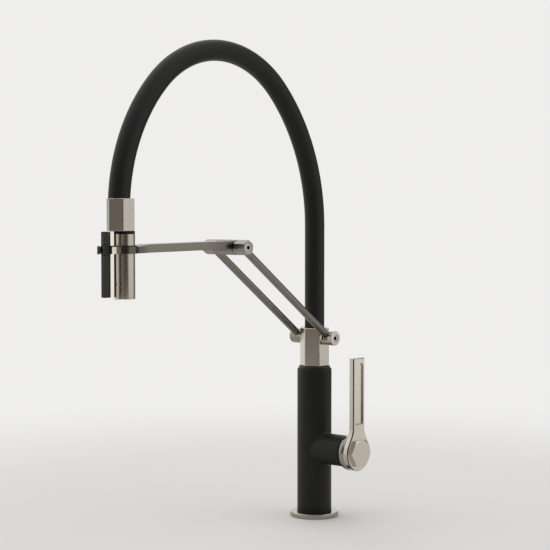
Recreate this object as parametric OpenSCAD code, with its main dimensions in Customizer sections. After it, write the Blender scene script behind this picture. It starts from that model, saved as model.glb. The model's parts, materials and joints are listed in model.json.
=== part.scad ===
// Pull down kitchen faucet on a single hole.
// The origin is the centre of the base on the deck, +Z is up, the spout reaches towards -Y
// and the lever stands on the +X side.

/* [Base] */
// Diameter of the base flange
flange_d = 60; // [52:1:70]
// Height of the base flange
flange_h = 6; // [4:0.5:10]
// Diameter of the body
body_d = 42.4; // [40:0.2:46]
// Height of the body above the deck
body_h = 184.1; // [170:0.1:220]
// Radius of the rounded top rim of the body
body_round = 1.6; // [0.5:0.1:2]
// Diameter of the swivel bore in the body
swivel_bore_d = 34; // [32:0.5:36]
// Depth of the swivel bore
swivel_depth = 66; // [50:1:72]

/* [Deck connections] */
// Thread diameter of the fixing stud hole
stud_d = 8; // [6:1:10]
// Depth of the fixing stud hole
stud_depth = 22; // [12:1:30]
// Thread diameter of the two water inlets
inlet_d = 10; // [8:1:12]
// Depth of the inlet threads
inlet_depth = 16; // [10:1:24]
// Distance between the two water inlets
inlet_pitch = 19; // [16:0.5:22]

/* [Valve and lever] */
// Height of the valve axis above the deck
valve_z = 85.5; // [75:0.5:92]
// Diameter of the valve boss
boss_d = 38; // [36:0.5:41]
// Reach of the valve boss from the body axis
boss_reach = 54; // [50:0.5:55.5]
// Diameter of the cartridge bore
cartridge_d = 31; // [28:0.5:32]
// Reach of the lever tilt pivot from the body axis
tilt_pivot_x = 40; // [38:0.5:42]
// Diameter of the round lever head
head_d = 44; // [43:0.5:50]
// Where the skirt of the lever head starts, from the body axis
head_x = 58; // [57.5:0.25:60]
// Depth of the skirt of the lever head
skirt_depth = 7.5; // [6:0.5:10]
// Thickness of the lever blade
blade_t = 6.5; // [5:0.25:8]
// Width of the lever blade
blade_w = 21.5; // [16:0.5:26]
// Length of the lever above the valve axis
lever_length = 115.5; // [90:0.5:140]
// Width of the shallow recess in the lever
recess_w = 15; // [10:0.5:15.5]
// Depth of the shallow recess in the lever
recess_t = 1.9; // [0.6:0.1:2.4]
// Width across the flats of the hexagon cap
cap_af = 31.2; // [26:0.2:34]
// Thickness of the hexagon cap
cap_t = 4.4; // [3:0.2:6]

/* [Column and shoulder] */
// Width across the flats of the hexagon column
column_af = 31.8; // [31:0.2:35]
// Height of the column above the body
column_h = 50.4; // [42:0.1:70]
// Distance from the column top down to the shoulder axis
shoulder_drop = 11.9; // [11:0.1:14]
// Diameter of the shoulder barrels
barrel_d = 17.8; // [16.4:0.2:20]
// Distance of the barrel end faces from the middle of the faucet
barrel_reach = 34; // [32.5:0.5:38]
// Diameter of the pivot screws
pivot_d = 5; // [4:0.25:6]

/* [Linkage] */
// Reach of the elbow from the shoulder
elbow_reach = 153.6; // [130:0.2:180]
// Rise of the elbow above the shoulder
elbow_rise = 114; // [90:0.5:130]
// Distance of each link rod from the middle of the faucet
rod_x = 24; // [23.4:0.1:25]
// Diameter of the link rods
rod_d = 9; // [7:0.25:9.6]
// Width across the corners of the hexagon elbow
elbow_ac = 17.6; // [16:0.2:22]
// Diameter of the elbow pin
elbow_pin_d = 6; // [5:0.25:6.5]
// Height of the support arm
arm_h = 9.6; // [7:0.2:11]
// Width of the support arm
arm_w = 18; // [12:0.5:22]
// Wall of the dock ring
ring_wall = 1.8; // [1.4:0.1:3]
// Height of the dock ring
ring_h = 7.6; // [6:0.2:10]
// Thickness of the liner in the dock ring
liner_t = 0.9; // [0.6:0.1:1.4]

/* [Wand] */
// Reach of the wand axis from the body axis
wand_reach = 310.6; // [285:0.1:335]
// Distance from the elbow axis down to the lower end of the wand
wand_drop = 53.3; // [48:0.1:58]
// Length of the wand tube
wand_tube_l = 70.5; // [66:0.5:80]
// Diameter of the wand tube
wand_d = 20.6; // [20:0.2:23]
// Width of the rib that carries the paddle
spine_w = 6; // [6:0.1:8]
// Thickness of the front wall of the rib
spine_t = 2.6; // [2:0.1:3]
// Depth of the rib from front to back
spine_depth = 5.2; // [4.8:0.1:7]
// Distance from the wand axis to the front of the rib
spine_front = 24.3; // [22:0.1:26]
// Width of the paddle
paddle_w = 4.4; // [4:0.1:5.4]
// Depth of the paddle
paddle_t = 8.2; // [7.5:0.1:11]
// Diameter of the round paddle pivot
hub_d = 12.6; // [11:0.1:13]
// Height of the paddle pivot above the lower end of the wand
hub_up = 53.7; // [52:0.1:55]
// Height of the black swivel seal
seal_h = 3.2; // [2:0.1:5]
// Width across the flats of the hose nut
nut_af = 27.5; // [27:0.1:32]
// Height of the hose nut
nut_h = 35.3; // [28:0.1:42]
// Distance of the hose nut in front of the wand axis
nut_forward = 7.2; // [6:0.1:7.6]

/* [Spout hose] */
// Diameter of the hose sleeve
hose_d = 24.2; // [22:0.2:24.6]
// Wall of the hose sleeve
sleeve_wall = 1.6; // [1:0.1:2]
// Diameter of the water hose inside
water_hose_d = 14; // [11:0.5:15]
// Bend radius of the hose where it leaves the riser
bend_back_r = 230; // [200:2:250]
// Bend radius of the hose over the top
bend_top_r = 137; // [120:1:145]
// How far the hose is turned where it meets the nut, in degrees
bend_end = 176.6; // [172:0.2:179]
// Distance of the hose end in front of the nut axis
hose_forward = 1.8; // [0:0.1:2]

/* [Hidden] */

$fn = 96;

// Clearances
running = 0.05;      // shaft in a hole
side_gap = 0.35;     // parts that pass each other
cut = 1;             // how far a cutter runs past a face
far = 400;           // longer than any single part

// Finishes
nickel = [0.55, 0.52, 0.47];
black = [0.09, 0.09, 0.09];
brass = [0.78, 0.62, 0.32];
acetal = [0.1, 0.1, 0.1];
steel = [0.7, 0.7, 0.7];

// Base
body_r = body_d / 2;
flange_round = 1;
swivel_floor = body_h - swivel_depth;
bush_wall = 2;
spindle_r = swivel_bore_d / 2 - bush_wall - running;
bush_h = 9;
lower_bush_z = swivel_floor + 6;
washer_h = 2.8;
seal_r = 1.2;
clip_h = 1;
clip_groove = 1.2;
spindle_wall = 5;
spindle_z0 = swivel_floor + 2;
spindle_up = 8;        // how far the spindle stands up inside the column
gasket_t = 1.2;
gasket_w = 4;
inlet_x = 8;
channel_r = 3.5;
stud_x = -12;

// Valve and lever
cartridge_r = cartridge_d / 2;
cartridge_back = 3;
outlet_x = cartridge_back + 7;
cartridge_nut_h = 8;
rotor_r = cartridge_r - 5.6;
rotor_back = tilt_pivot_x - 18;
rotor_front = tilt_pivot_x + 6;
stem_w = 8;
tilt_pin_r = 2;
skirt_wall = 2.4;
head_front = head_x + skirt_depth + blade_t;
screw_head_r = 4.7;
screw_head_h = 3.2;
socket_af = 4;
socket_depth = 2;

// Shoulder
column_z0 = body_h + washer_h;
column_top = column_z0 + column_h - washer_h;
column_ac = column_af / cos(30);
shoulder_z = column_top - shoulder_drop;
socket_r = hose_d / 2 + 0.35;
socket_in = 6;
passage_r = water_hose_d / 2 + 0.3;
pivot_x0 = passage_r + 1.5;     // where the pivot screws end inside the column
pivot_r = pivot_d / 2;
slot_w = 9.6 + 2 * max(0, rod_d / 2 + 0.3 - 4.8);
eye_w = slot_w - 1.6;
eye_r = 6;
washer_r = 5.6;
tab_r = 3.5;
tab_up = 8.5;
swing = 15;

// Linkage
elbow_y = -elbow_reach;
elbow_z = shoulder_z + elbow_rise;
rod_length = norm([elbow_reach, elbow_rise]);
rod_angle = atan2(elbow_rise, elbow_reach);
elbow_r = elbow_ac / 2;
elbow_pin_r = elbow_pin_d / 2;
elbow_washer_t = 0.9;
elbow_inner = column_af / 2;   // where the elbow barrels start, in line with the column
screw_r = 1.75;
screw_l = 8;

// Wand
tube_r = wand_d / 2;
wand_y = -wand_reach;
wand_z = elbow_z - wand_drop;
tube_top = wand_z + wand_tube_l;
nut_z0 = tube_top + seal_h;
nut_top = nut_z0 + nut_h;
nut_y = wand_y - nut_forward;
spine_y = wand_y - spine_front;
spine_back = spine_y + spine_t;
spine_z0 = wand_z + 2.6;
spine_z1 = nut_z0 - 0.1;
hub_out = 4.3;                  // from the rib out to the paddle pivot
hub_over_ring = 4.4;            // from the dock ring up to the paddle pivot
pusher_drop = 37;               // from the paddle pivot down to the diverter pusher
hub_y = spine_y - hub_out;
hub_z = wand_z + hub_up;
ring_z0 = hub_z - hub_over_ring;
ring_r = tube_r + side_gap + liner_t + ring_wall;
ring_gap = paddle_w / 2 + 1.2;
core_w = 3;                     // of the carrier inside the rib
web_w = 2;                      // of the carrier between the rib and the tube
web_under = 9;                  // from the paddle pivot down to the lower end of its carrier
ear_in = paddle_w / 2 - 0.6;
ear_out = ear_in + 1.3;
ear_root = 2;
ear_front = 0.3;                // from the rib out to the front ends of the dock ring
ear_gap = 0.1;
hub_pin_r = 1.25;
paddle_back = spine_y - 0.4;
paddle_front = paddle_back - paddle_t;
rock_relief = 1.3;
pusher_r = 1.5;
pusher_z = hub_z - pusher_drop;
face_r = tube_r - 1.5;
face_h = 7;
tube_bore_r = tube_r - 3.4;

// Spout hose: a straight riser and three arcs that meet tangentially
hose_r = hose_d / 2;
spring_t = 1.4;
water_hose_wall = 2.5;
hose_z0 = column_top - socket_in;
hose_end_y = nut_y - hose_forward;
shoulder_turn = 45;
crown_turn = 180 - shoulder_turn;
bend_end_r = (-hose_end_y - bend_back_r * (1 - cos(shoulder_turn))
    - bend_top_r * (cos(shoulder_turn) - cos(crown_turn))) / (cos(crown_turn) - cos(bend_end));
riser_top = nut_top - bend_back_r * sin(shoulder_turn)
    - bend_end_r * (sin(bend_end) - sin(crown_turn));
crown_y0 = -bend_back_r * (1 - cos(shoulder_turn));
crown_z0 = riser_top + bend_back_r * sin(shoulder_turn);
crown_y1 = crown_y0 - bend_top_r * (cos(shoulder_turn) - cos(crown_turn));

// A cylinder along X from x0 to x1, round the axis at (y, z)
module rod_along_x(x0, x1, r, y = 0, z = 0) {
    translate([x0, y, z]) rotate([0, 90, 0]) cylinder(r = r, h = x1 - x0);
}

// A box given by its two corners
module box(low, high) {
    translate(low) cube(high - low);
}

// A hexagon along X, with two corners up and down, or two flats up and down
module hexagon_along_x(x0, x1, across_corners, y, z, corners_up = true) {
    translate([x0, y, z]) rotate([0, 90, 0]) rotate(corners_up ? 0 : 30)
        cylinder(d = across_corners, h = x1 - x0, $fn = 6);
}

// A screw head with a hexagon socket, along X, its face at x, on the side s (1 or -1)
module socket_head(x, s, y, z) {
    translate([x, y, z]) scale_side(s) difference() {
        rod_along_x(-screw_head_h, -0.3, screw_head_r);
        hexagon_along_x(-0.3 - socket_depth, cut, socket_af / cos(30), 0, 0);
    }
}

// Turns a part that points to +X to the side s
module scale_side(s) {
    if (s > 0) children();
    else mirror([1, 0, 0]) children();
}

// Base

module body_shell() {
    color(black) difference() {
        union() {
            rotate_extrude() union() {
                square([body_r, body_h - body_round]);
                square([body_r - body_round, body_h]);
                translate([body_r - body_round, body_h - body_round]) circle(body_round);
            }
            rod_along_x(0, boss_reach, boss_d / 2, 0, valve_z);
        }
        translate([0, 0, swivel_floor]) cylinder(d = swivel_bore_d, h = swivel_depth + cut);
        rod_along_x(cartridge_back, boss_reach + cut, cartridge_r, 0, valve_z);
        // mixed water rises into the swivel chamber
        translate([outlet_x, 0, valve_z]) cylinder(r = channel_r, h = swivel_floor - valve_z + cut);
        for (s = [-1, 1]) translate([inlet_x, s * inlet_pitch / 2, -cut]) {
            cylinder(d = inlet_d, h = inlet_depth + cut);
            cylinder(r = channel_r, h = valve_z - cartridge_r * 0.6);
        }
        translate([stud_x, 0, -cut]) cylinder(d = stud_d, h = stud_depth + cut);
    }
}

module base_flange() {
    color(nickel) difference() {
        rotate_extrude() difference() {
            square([flange_d / 2, flange_h]);
            translate([flange_d / 2 - flange_round, flange_h - flange_round]) difference() {
                square(2 * flange_round);
                circle(flange_round);
            }
        }
        translate([0, 0, -cut]) cylinder(r = body_r, h = flange_h + 2 * cut);
        translate([0, 0, -cut]) gasket_ring(gasket_t + cut);
    }
}

module gasket_ring(h) {
    gasket_r = (body_r + flange_d / 2) / 2;
    difference() {
        cylinder(r = gasket_r + gasket_w / 2, h = h);
        translate([0, 0, -cut]) cylinder(r = gasket_r - gasket_w / 2, h = h + 2 * cut);
    }
}

module deck_gasket() {
    color([0.15, 0.15, 0.15]) gasket_ring(gasket_t);
}

// A sleeve bearing between the body and the spindle
module swivel_bush(z0) {
    translate([0, 0, z0]) difference() {
        cylinder(d = swivel_bore_d, h = bush_h);
        translate([0, 0, -cut]) cylinder(r = spindle_r + running, h = bush_h + 2 * cut);
    }
}

module upper_bush() {
    color(acetal) swivel_bush(body_h - bush_h);
}

module lower_bush() {
    color(acetal) swivel_bush(lower_bush_z);
}

module swivel_washer() {
    color(acetal) translate([0, 0, body_h]) difference() {
        cylinder(r = body_r - body_round, h = washer_h);
        translate([0, 0, -cut]) cylinder(r = spindle_r + running, h = washer_h + 2 * cut);
    }
}

// Swivel

seal_pitch = 6;
seal_z = [for (i = [1, 2]) body_h - bush_h - seal_pitch * i];
clip_z = lower_bush_z - clip_h - side_gap;

module swivel_spindle() {
    color(brass) difference() {
        translate([0, 0, spindle_z0])
            cylinder(r = spindle_r, h = column_z0 + spindle_up - spindle_z0);
        cylinder(r = spindle_r - spindle_wall, h = far);
        for (z = seal_z) translate([0, 0, z]) rotate_extrude()
            translate([swivel_bore_d / 2 - running - seal_r, 0]) circle(seal_r);
        translate([0, 0, clip_z]) difference() {
            cylinder(r = spindle_r + cut, h = clip_h);
            translate([0, 0, -cut]) cylinder(r = spindle_r - clip_groove, h = clip_h + 2 * cut);
        }
    }
}

module spindle_seals() {
    color([0.12, 0.12, 0.12]) for (z = seal_z) translate([0, 0, z]) rotate_extrude()
        translate([swivel_bore_d / 2 - running - seal_r, 0]) circle(seal_r);
}

module retaining_clip() {
    color(steel) translate([0, 0, clip_z]) difference() {
        cylinder(r = swivel_bore_d / 2 - 0.4, h = clip_h);
        translate([0, 0, -cut]) cylinder(r = spindle_r - clip_groove, h = clip_h + 2 * cut);
        box([0, -3, -cut], [far, 3, clip_h + cut]);
    }
}

// Valve and lever

module valve_cartridge() {
    color(acetal) difference() {
        rod_along_x(cartridge_back, boss_reach - cartridge_nut_h, cartridge_r, 0, valve_z);
        rod_along_x(rotor_back - running, boss_reach, rotor_r + running, 0, valve_z);
        for (s = [-1, 1]) translate([inlet_x, s * inlet_pitch / 2, 0])
            cylinder(r = channel_r, h = valve_z);
        translate([outlet_x, 0, valve_z]) cylinder(r = channel_r, h = far);
        rod_along_x(inlet_x, rotor_back, channel_r, 0, valve_z);
    }
}

module cartridge_nut() {
    color(brass) difference() {
        rod_along_x(boss_reach - cartridge_nut_h, boss_reach - 0.5, cartridge_r, 0, valve_z);
        rod_along_x(boss_reach - cartridge_nut_h - cut, boss_reach + cut, rotor_r + 0.6,
            0, valve_z);
    }
}

module mixer_rotor() {
    color([0.85, 0.85, 0.9]) difference() {
        rod_along_x(rotor_back, rotor_front, rotor_r, 0, valve_z);
        box([tilt_pivot_x - stem_w / 2 - 1.5, -stem_w / 2 - running, valve_z - far / 8],
            [rotor_front + cut, stem_w / 2 + running, valve_z + far / 8]);
        tilt_pin_shape(tilt_pin_r);
    }
}

module tilt_pin_shape(r) {
    translate([tilt_pivot_x, -rotor_r * 0.9, valve_z]) rotate([-90, 0, 0])
        cylinder(r = r, h = rotor_r * 1.8);
}

module tilt_pin() {
    color(steel) tilt_pin_shape(tilt_pin_r);
}

module lever_stem() {
    color(steel) difference() {
        union() {
            box([tilt_pivot_x, -stem_w / 2, valve_z - stem_w / 2],
                [head_x + skirt_depth, stem_w / 2, valve_z + stem_w / 2]);
            translate([tilt_pivot_x, -stem_w / 2, valve_z]) rotate([-90, 0, 0])
                cylinder(d = stem_w, h = stem_w);
        }
        tilt_pin_shape(tilt_pin_r + running);
        rod_along_x(head_x + skirt_depth - screw_l, head_x + skirt_depth + cut, screw_r,
            0, valve_z);
    }
}

// The outline of the blade and of its flare into the round head, with the valve axis at (0, 0)
module blade_outline() {
    flare_z = head_d * 0.62;
    flare_l = 5;
    flare_out = 1.4;
    side_y = head_d * 0.42;
    side_z = head_d * 0.26;
    polygon([
        [-side_y, side_z], [side_y, side_z],
        [blade_w / 2 + flare_out, flare_z - flare_l], [blade_w / 2, flare_z],
        [blade_w / 2, lever_length], [-blade_w / 2, lever_length],
        [-blade_w / 2, flare_z], [-blade_w / 2 - flare_out, flare_z - flare_l]
    ]);
}

// Stands a flat outline up in the YZ plane, from x0 to x1
module upright(x0, x1) {
    translate([x0, 0, valve_z]) rotate([90, 0, 90]) linear_extrude(x1 - x0) children();
}

module lever_handle() {
    recess_low = head_d * 0.82;
    recess_rim = 6;
    color(nickel) difference() {
        union() {
            rod_along_x(head_x, head_front, head_d / 2, 0, valve_z);
            upright(head_x + skirt_depth, head_front) blade_outline();
        }
        rod_along_x(head_x - cut, head_x + skirt_depth, head_d / 2 - skirt_wall, 0, valve_z);
        upright(head_front - recess_t, head_front + cut)
            translate([-recess_w / 2, recess_low])
                square([recess_w, lever_length - recess_low - recess_rim]);
        rod_along_x(head_x, head_front + cut, screw_r, 0, valve_z);
    }
}

module lever_cap() {
    color(nickel) difference() {
        hexagon_along_x(head_front, head_front + cap_t, cap_af / cos(30), 0, valve_z, false);
        rod_along_x(head_front - cut, head_front + screw_head_h, screw_head_r, 0, valve_z);
    }
}

module cap_screw() {
    color(steel) union() {
        rod_along_x(head_x + skirt_depth - screw_l + 0.5, head_front, screw_r, 0, valve_z);
        rod_along_x(head_front, head_front + screw_head_h, screw_head_r, 0, valve_z);
    }
}

// Column and shoulder

module column_post() {
    color(nickel) difference() {
        translate([0, 0, column_z0]) rotate(30)
            cylinder(d = column_ac, h = column_top - column_z0, $fn = 6);
        translate([0, 0, column_z0 - cut]) cylinder(r = spindle_r, h = spindle_up + cut);
        translate([0, 0, hose_z0]) cylinder(r = socket_r, h = socket_in + cut);
        translate([0, 0, column_z0]) cylinder(r = passage_r, h = far);
        for (s = [-1, 1]) scale_side(s)
            rod_along_x(pivot_x0, column_af, pivot_r, 0, shoulder_z);
    }
}

// The mouth of the slot in a barrel, seen along X with the shoulder axis at (0, 0). It opens from
// just under the lowest rod to a little behind the upright.
module slot_mouth_outline() {
    low = rod_angle - swing - 3;
    high = 110;
    half = rod_d / 2 + 0.5;
    reach = barrel_d;
    function along(a, l, side) = [-l * cos(a) + side * sin(a), l * sin(a) + side * cos(a)];
    polygon([
        along(low, 0, -half), along(low, reach, -half), along((low + high) / 2, 2 * reach, 0),
        along(high, reach, half), along(high, 0, half)
    ]);
}

// One barrel on the side of the column, slotted for the eye of a link rod
module shoulder_barrel() {
    slot_x0 = rod_x - slot_w / 2;
    difference() {
        union() {
            rod_along_x(column_af / 2, barrel_reach, barrel_d / 2, 0, shoulder_z);
            rod_along_x(column_af / 2, slot_x0 + cut, tab_r, 0, shoulder_z + tab_up);
            box([column_af / 2, -tab_r, shoulder_z], [slot_x0 + cut, tab_r, shoulder_z + tab_up]);
        }
        rod_along_x(slot_x0, slot_x0 + slot_w, eye_r + side_gap, 0, shoulder_z);
        translate([slot_x0, 0, shoulder_z]) rotate([90, 0, 90])
            linear_extrude(slot_w) slot_mouth_outline();
        rod_along_x(0, barrel_reach + cut, pivot_r, 0, shoulder_z);
        rod_along_x(barrel_reach - screw_head_h, barrel_reach + cut, screw_head_r, 0, shoulder_z);
    }
}

module shoulder_barrel_left() {
    color(nickel) scale_side(-1) shoulder_barrel();
}

module shoulder_barrel_right() {
    color(nickel) shoulder_barrel();
}

module shoulder_screws() {
    color(steel) for (s = [-1, 1]) scale_side(s) union() {
        rod_along_x(pivot_x0 + 0.1, barrel_reach - screw_head_h, pivot_r, 0, shoulder_z);
        socket_head(barrel_reach, 1, 0, shoulder_z);
    }
}

module shoulder_washers() {
    color(acetal) for (s = [-1, 1]) scale_side(s) for (x = [rod_x - slot_w / 2, rod_x + eye_w / 2])
        difference() {
            rod_along_x(x, x + (slot_w - eye_w) / 2, washer_r, 0, shoulder_z);
            rod_along_x(x - cut, x + cut + slot_w, pivot_r + running, 0, shoulder_z);
        }
}

// Linkage

// Places a part at the shoulder with its -Y axis along the link rods
module along_rods() {
    translate([rod_x, 0, shoulder_z]) rotate([-rod_angle, 0, 0]) children();
}

// The round bar of a link rod between two distances from the shoulder axis
module rod_bar(from, to, r) {
    along_rods() translate([0, -from, 0]) rotate([90, 0, 0]) cylinder(r = r, h = to - from);
}

rod_end = rod_length - elbow_pin_r - side_gap;

module link_rod() {
    difference() {
        union() {
            rod_along_x(rod_x - eye_w / 2, rod_x + eye_w / 2, eye_r, 0, shoulder_z);
            intersection() {
                rod_bar(0, eye_r + 2, rod_d / 2);
                rod_along_x(rod_x - eye_w / 2, rod_x + eye_w / 2, barrel_d, 0, shoulder_z);
            }
            rod_bar(eye_r + 0.2, rod_end, rod_d / 2);
        }
        rod_along_x(0, far, pivot_r + running, 0, shoulder_z);
    }
}

module link_rod_left() {
    color(nickel) scale_side(-1) link_rod();
}

module link_rod_right() {
    color(nickel) link_rod();
}

module elbow_barrel() {
    difference() {
        hexagon_along_x(elbow_inner, barrel_reach, elbow_ac, elbow_y, elbow_z);
        rod_bar(rod_length - elbow_ac, rod_end, rod_d / 2);
        rod_along_x(0, barrel_reach + cut, elbow_pin_r, elbow_y, elbow_z);
        rod_along_x(barrel_reach - screw_head_h, barrel_reach + cut, screw_head_r,
            elbow_y, elbow_z);
    }
}

module elbow_barrel_left() {
    color(nickel) scale_side(-1) elbow_barrel();
}

module elbow_barrel_right() {
    color(nickel) elbow_barrel();
}

elbow_pin_x = barrel_reach - screw_head_h;

module elbow_pin() {
    color(steel) difference() {
        rod_along_x(-elbow_pin_x, elbow_pin_x, elbow_pin_r, elbow_y, elbow_z);
        for (s = [-1, 1]) scale_side(s)
            rod_along_x(elbow_pin_x - screw_l, elbow_pin_x + cut, screw_r, elbow_y, elbow_z);
    }
}

module elbow_screws() {
    color(steel) for (s = [-1, 1]) scale_side(s) union() {
        rod_along_x(elbow_pin_x - screw_l + 0.5, elbow_pin_x, screw_r, elbow_y, elbow_z);
        socket_head(barrel_reach, 1, elbow_y, elbow_z);
    }
}

module elbow_washers() {
    color(acetal) for (s = [-1, 1]) scale_side(s) difference() {
        rod_along_x(elbow_inner - elbow_washer_t, elbow_inner, elbow_r * 0.75, elbow_y, elbow_z);
        rod_along_x(0, barrel_reach, elbow_pin_r + running, elbow_y, elbow_z);
    }
}

// The room for the wand inside the ring: round the tube and its rib, grown by a margin
module dock_outline(margin) {
    translate([0, wand_y]) circle(tube_r + margin);
    half = spine_w / 2 + margin;
    translate([-half, spine_y - margin]) square([2 * half, spine_front + margin]);
}

module ring_slot() {
    box([-ring_gap, spine_y - far / 8, ring_z0 - far / 8], [ring_gap, wand_y, ring_z0 + far / 8]);
    box([-arm_w, spine_y - far / 8, ring_z0 - far / 8],
        [arm_w, spine_y - ear_front, ring_z0 + far / 8]);
}

module support_arm() {
    block_x = elbow_inner - elbow_washer_t;
    bar_end = wand_y + tube_r + side_gap + liner_t - 6;
    taper_y = elbow_y - 3.6 * elbow_r;
    taper_x = arm_w / 2 + 1.5;
    ring_mid_z = ring_z0 + ring_h / 2;
    ring_back_y = wand_y + ring_r;
    dip_y = ring_back_y + 12;
    dip_z = ring_mid_z + 1.2;
    elbow_end_z = elbow_z + 2.9;
    color(nickel) difference() {
        union() {
            hexagon_along_x(-block_x, block_x, elbow_ac, elbow_y, elbow_z);
            // the bar narrows from the elbow to the ring
            intersection() {
                translate([0, 0, ring_z0 - far / 8]) linear_extrude(far / 4) polygon([
                    [-block_x, elbow_y], [block_x, elbow_y],
                    [block_x, elbow_y - elbow_r], [taper_x, taper_y],
                    [arm_w / 2, bar_end], [-arm_w / 2, bar_end],
                    [-taper_x, taper_y], [-block_x, elbow_y - elbow_r]
                ]);
                rotate([90, 0, 90]) translate([0, 0, -far / 8]) linear_extrude(far / 4) polygon([
                    [elbow_y, elbow_end_z - arm_h / 2], [elbow_y, elbow_end_z + arm_h / 2],
                    [dip_y, dip_z + arm_h / 2], [ring_back_y, ring_mid_z + ring_h / 2],
                    [bar_end, ring_mid_z + ring_h / 2], [bar_end, ring_mid_z - ring_h / 2],
                    [ring_back_y, ring_mid_z - ring_h / 2], [dip_y, dip_z - arm_h / 2]
                ]);
            }
            translate([0, 0, ring_z0]) linear_extrude(ring_h)
                dock_outline(side_gap + liner_t + ring_wall);
        }
        translate([0, 0, ring_z0 - cut * 4]) linear_extrude(ring_h + cut * 8)
            dock_outline(side_gap + liner_t);
        ring_slot();
        rod_along_x(-block_x - cut, block_x + cut, elbow_pin_r + running, elbow_y, elbow_z);
    }
}

module dock_liner() {
    lip = 1.2;
    lip_margin = side_gap + liner_t + ring_wall - 0.4;
    color(black) difference() {
        union() {
            translate([0, 0, ring_z0]) linear_extrude(ring_h) dock_outline(side_gap + liner_t);
            // a lip on top of the ring, kept clear of the arm
            difference() {
                translate([0, 0, ring_z0 + ring_h]) linear_extrude(lip) dock_outline(lip_margin);
                box([-arm_w, wand_y + tube_r * 0.6, ring_z0], [arm_w, elbow_y, ring_z0 + far / 8]);
            }
        }
        translate([0, 0, ring_z0 - cut]) linear_extrude(ring_h + lip + 2 * cut)
            dock_outline(side_gap);
        ring_slot();
    }
}

// Wand

// A cylinder along Y from y0 to y1
module rod_along_y(y0, y1, r, x, z) {
    translate([x, y0, z]) rotate([-90, 0, 0]) cylinder(r = r, h = y1 - y0);
}

module wand_tube() {
    color(nickel) difference() {
        translate([0, wand_y, wand_z]) cylinder(r = tube_r, h = wand_tube_l);
        translate([0, wand_y, wand_z - cut]) cylinder(r = face_r, h = face_h + cut);
        translate([0, wand_y, wand_z]) cylinder(r = tube_bore_r, h = wand_tube_l - 4);
        translate([0, wand_y, wand_z]) cylinder(r = channel_r, h = far);
        rod_along_y(spine_y, wand_y, pusher_r + running, 0, pusher_z);
    }
}

// The upright rib in front of the tube. It is open at the paddle pivot, and has a pocket for the
// carrier of the paddle.
module spine_plate() {
    color(nickel) difference() {
        box([-spine_w / 2, spine_y, spine_z0], [spine_w / 2, spine_y + spine_depth, spine_z1]);
        box([-spine_w, spine_y - cut, hub_z - hub_d / 2],
            [spine_w, spine_back + ear_root, hub_z + hub_d / 2]);
        box([-core_w / 2, spine_back, hub_z - web_under], [core_w / 2, wand_y, tube_top]);
        rod_along_y(spine_y - cut, wand_y, pusher_r + running, 0, pusher_z);
    }
}

// The black carrier: a thin web between the tube and the rib, a core inside the rib and the two
// round ears that hold the paddle. The diverter pusher runs through it.
module paddle_bracket() {
    ear_z = hub_d * 0.32;
    color(black) difference() {
        union() {
            box([-core_w / 2, spine_back, hub_z - web_under],
                [core_w / 2, spine_y + spine_depth, tube_top]);
            box([-web_w / 2, spine_y + spine_depth, spine_z0], [web_w / 2, wand_y, tube_top]);
            rod_along_y(spine_y + spine_depth, wand_y, pusher_r + 1, 0, pusher_z);
            box([-ear_out, spine_back, hub_z - ear_z],
                [ear_out, spine_back + ear_root, hub_z + ear_z]);
            for (s = [-1, 1]) scale_side(s) {
                rod_along_x(ear_in, ear_out, hub_d / 2, hub_y, hub_z);
                box([ear_in, hub_y, hub_z - ear_z], [ear_out, spine_back + cut, hub_z + ear_z]);
            }
        }
        translate([0, wand_y, wand_z - cut]) cylinder(r = tube_r, h = far);
        rod_along_x(-spine_w, spine_w, hub_pin_r, hub_y, hub_z);
        rod_along_y(spine_y, wand_y, pusher_r + running, 0, pusher_z);
    }
}

module spray_paddle() {
    thumb_w = 3;
    thumb_h = 9;
    thumb_t = 1.5;
    thumb_out = 4.6;
    neck = 1;
    root = ear_in - ear_gap;
    color(black) difference() {
        union() {
            // the fin, relieved behind its upper end so that it can rock
            translate([-paddle_w / 2, 0, 0]) rotate([90, 0, 90]) linear_extrude(paddle_w) polygon([
                [paddle_back, spine_z0], [paddle_back, hub_z + hub_d / 2],
                [paddle_back - rock_relief, spine_z1 - 0.3],
                [paddle_front, spine_z1 - 0.3], [paddle_front, spine_z0]
            ]);
            rod_along_x(-root, root, hub_d / 2 - 0.4, hub_y, hub_z);
            box([-neck * 0.7, paddle_front - thumb_out, hub_z - neck],
                [neck * 0.7, paddle_front + cut, hub_z + neck]);
            box([-thumb_w / 2, paddle_front - thumb_out - thumb_t, hub_z - thumb_h / 2],
                [thumb_w / 2, paddle_front - thumb_out, hub_z + thumb_h / 2]);
        }
        for (s = [-1, 1]) scale_side(s)
            rod_along_x(root, paddle_w, hub_d / 2 + side_gap, hub_y, hub_z);
        rod_along_x(-paddle_w, paddle_w, hub_pin_r + running, hub_y, hub_z);
    }
}

module paddle_pin() {
    color(steel) rod_along_x(-ear_out, ear_out, hub_pin_r, hub_y, hub_z);
}

module diverter_pusher() {
    color(brass) union() {
        rod_along_y(paddle_back + 0.2, wand_y - 1, pusher_r, 0, pusher_z);
        rod_along_y(wand_y - 1, wand_y + 1, pusher_r * 2, 0, pusher_z);
    }
}

// The spray face at the lower end of the wand, with a jet in the middle and a ring of spray holes
module spray_face() {
    sink = 0.6;
    holes = 12;
    jet_depth = 4;
    color(black) difference() {
        translate([0, wand_y, wand_z + sink]) cylinder(r = face_r, h = face_h - sink);
        translate([0, wand_y, wand_z]) cylinder(r = face_r * 0.4, h = jet_depth);
        translate([0, wand_y, wand_z]) cylinder(r = face_r * 0.25, h = far);
        for (i = [0 : holes - 1]) translate([0, wand_y, wand_z]) rotate(360 / holes * i)
            translate([face_r * 0.72, 0, 0]) cylinder(r = 0.7, h = far);
    }
}

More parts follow.
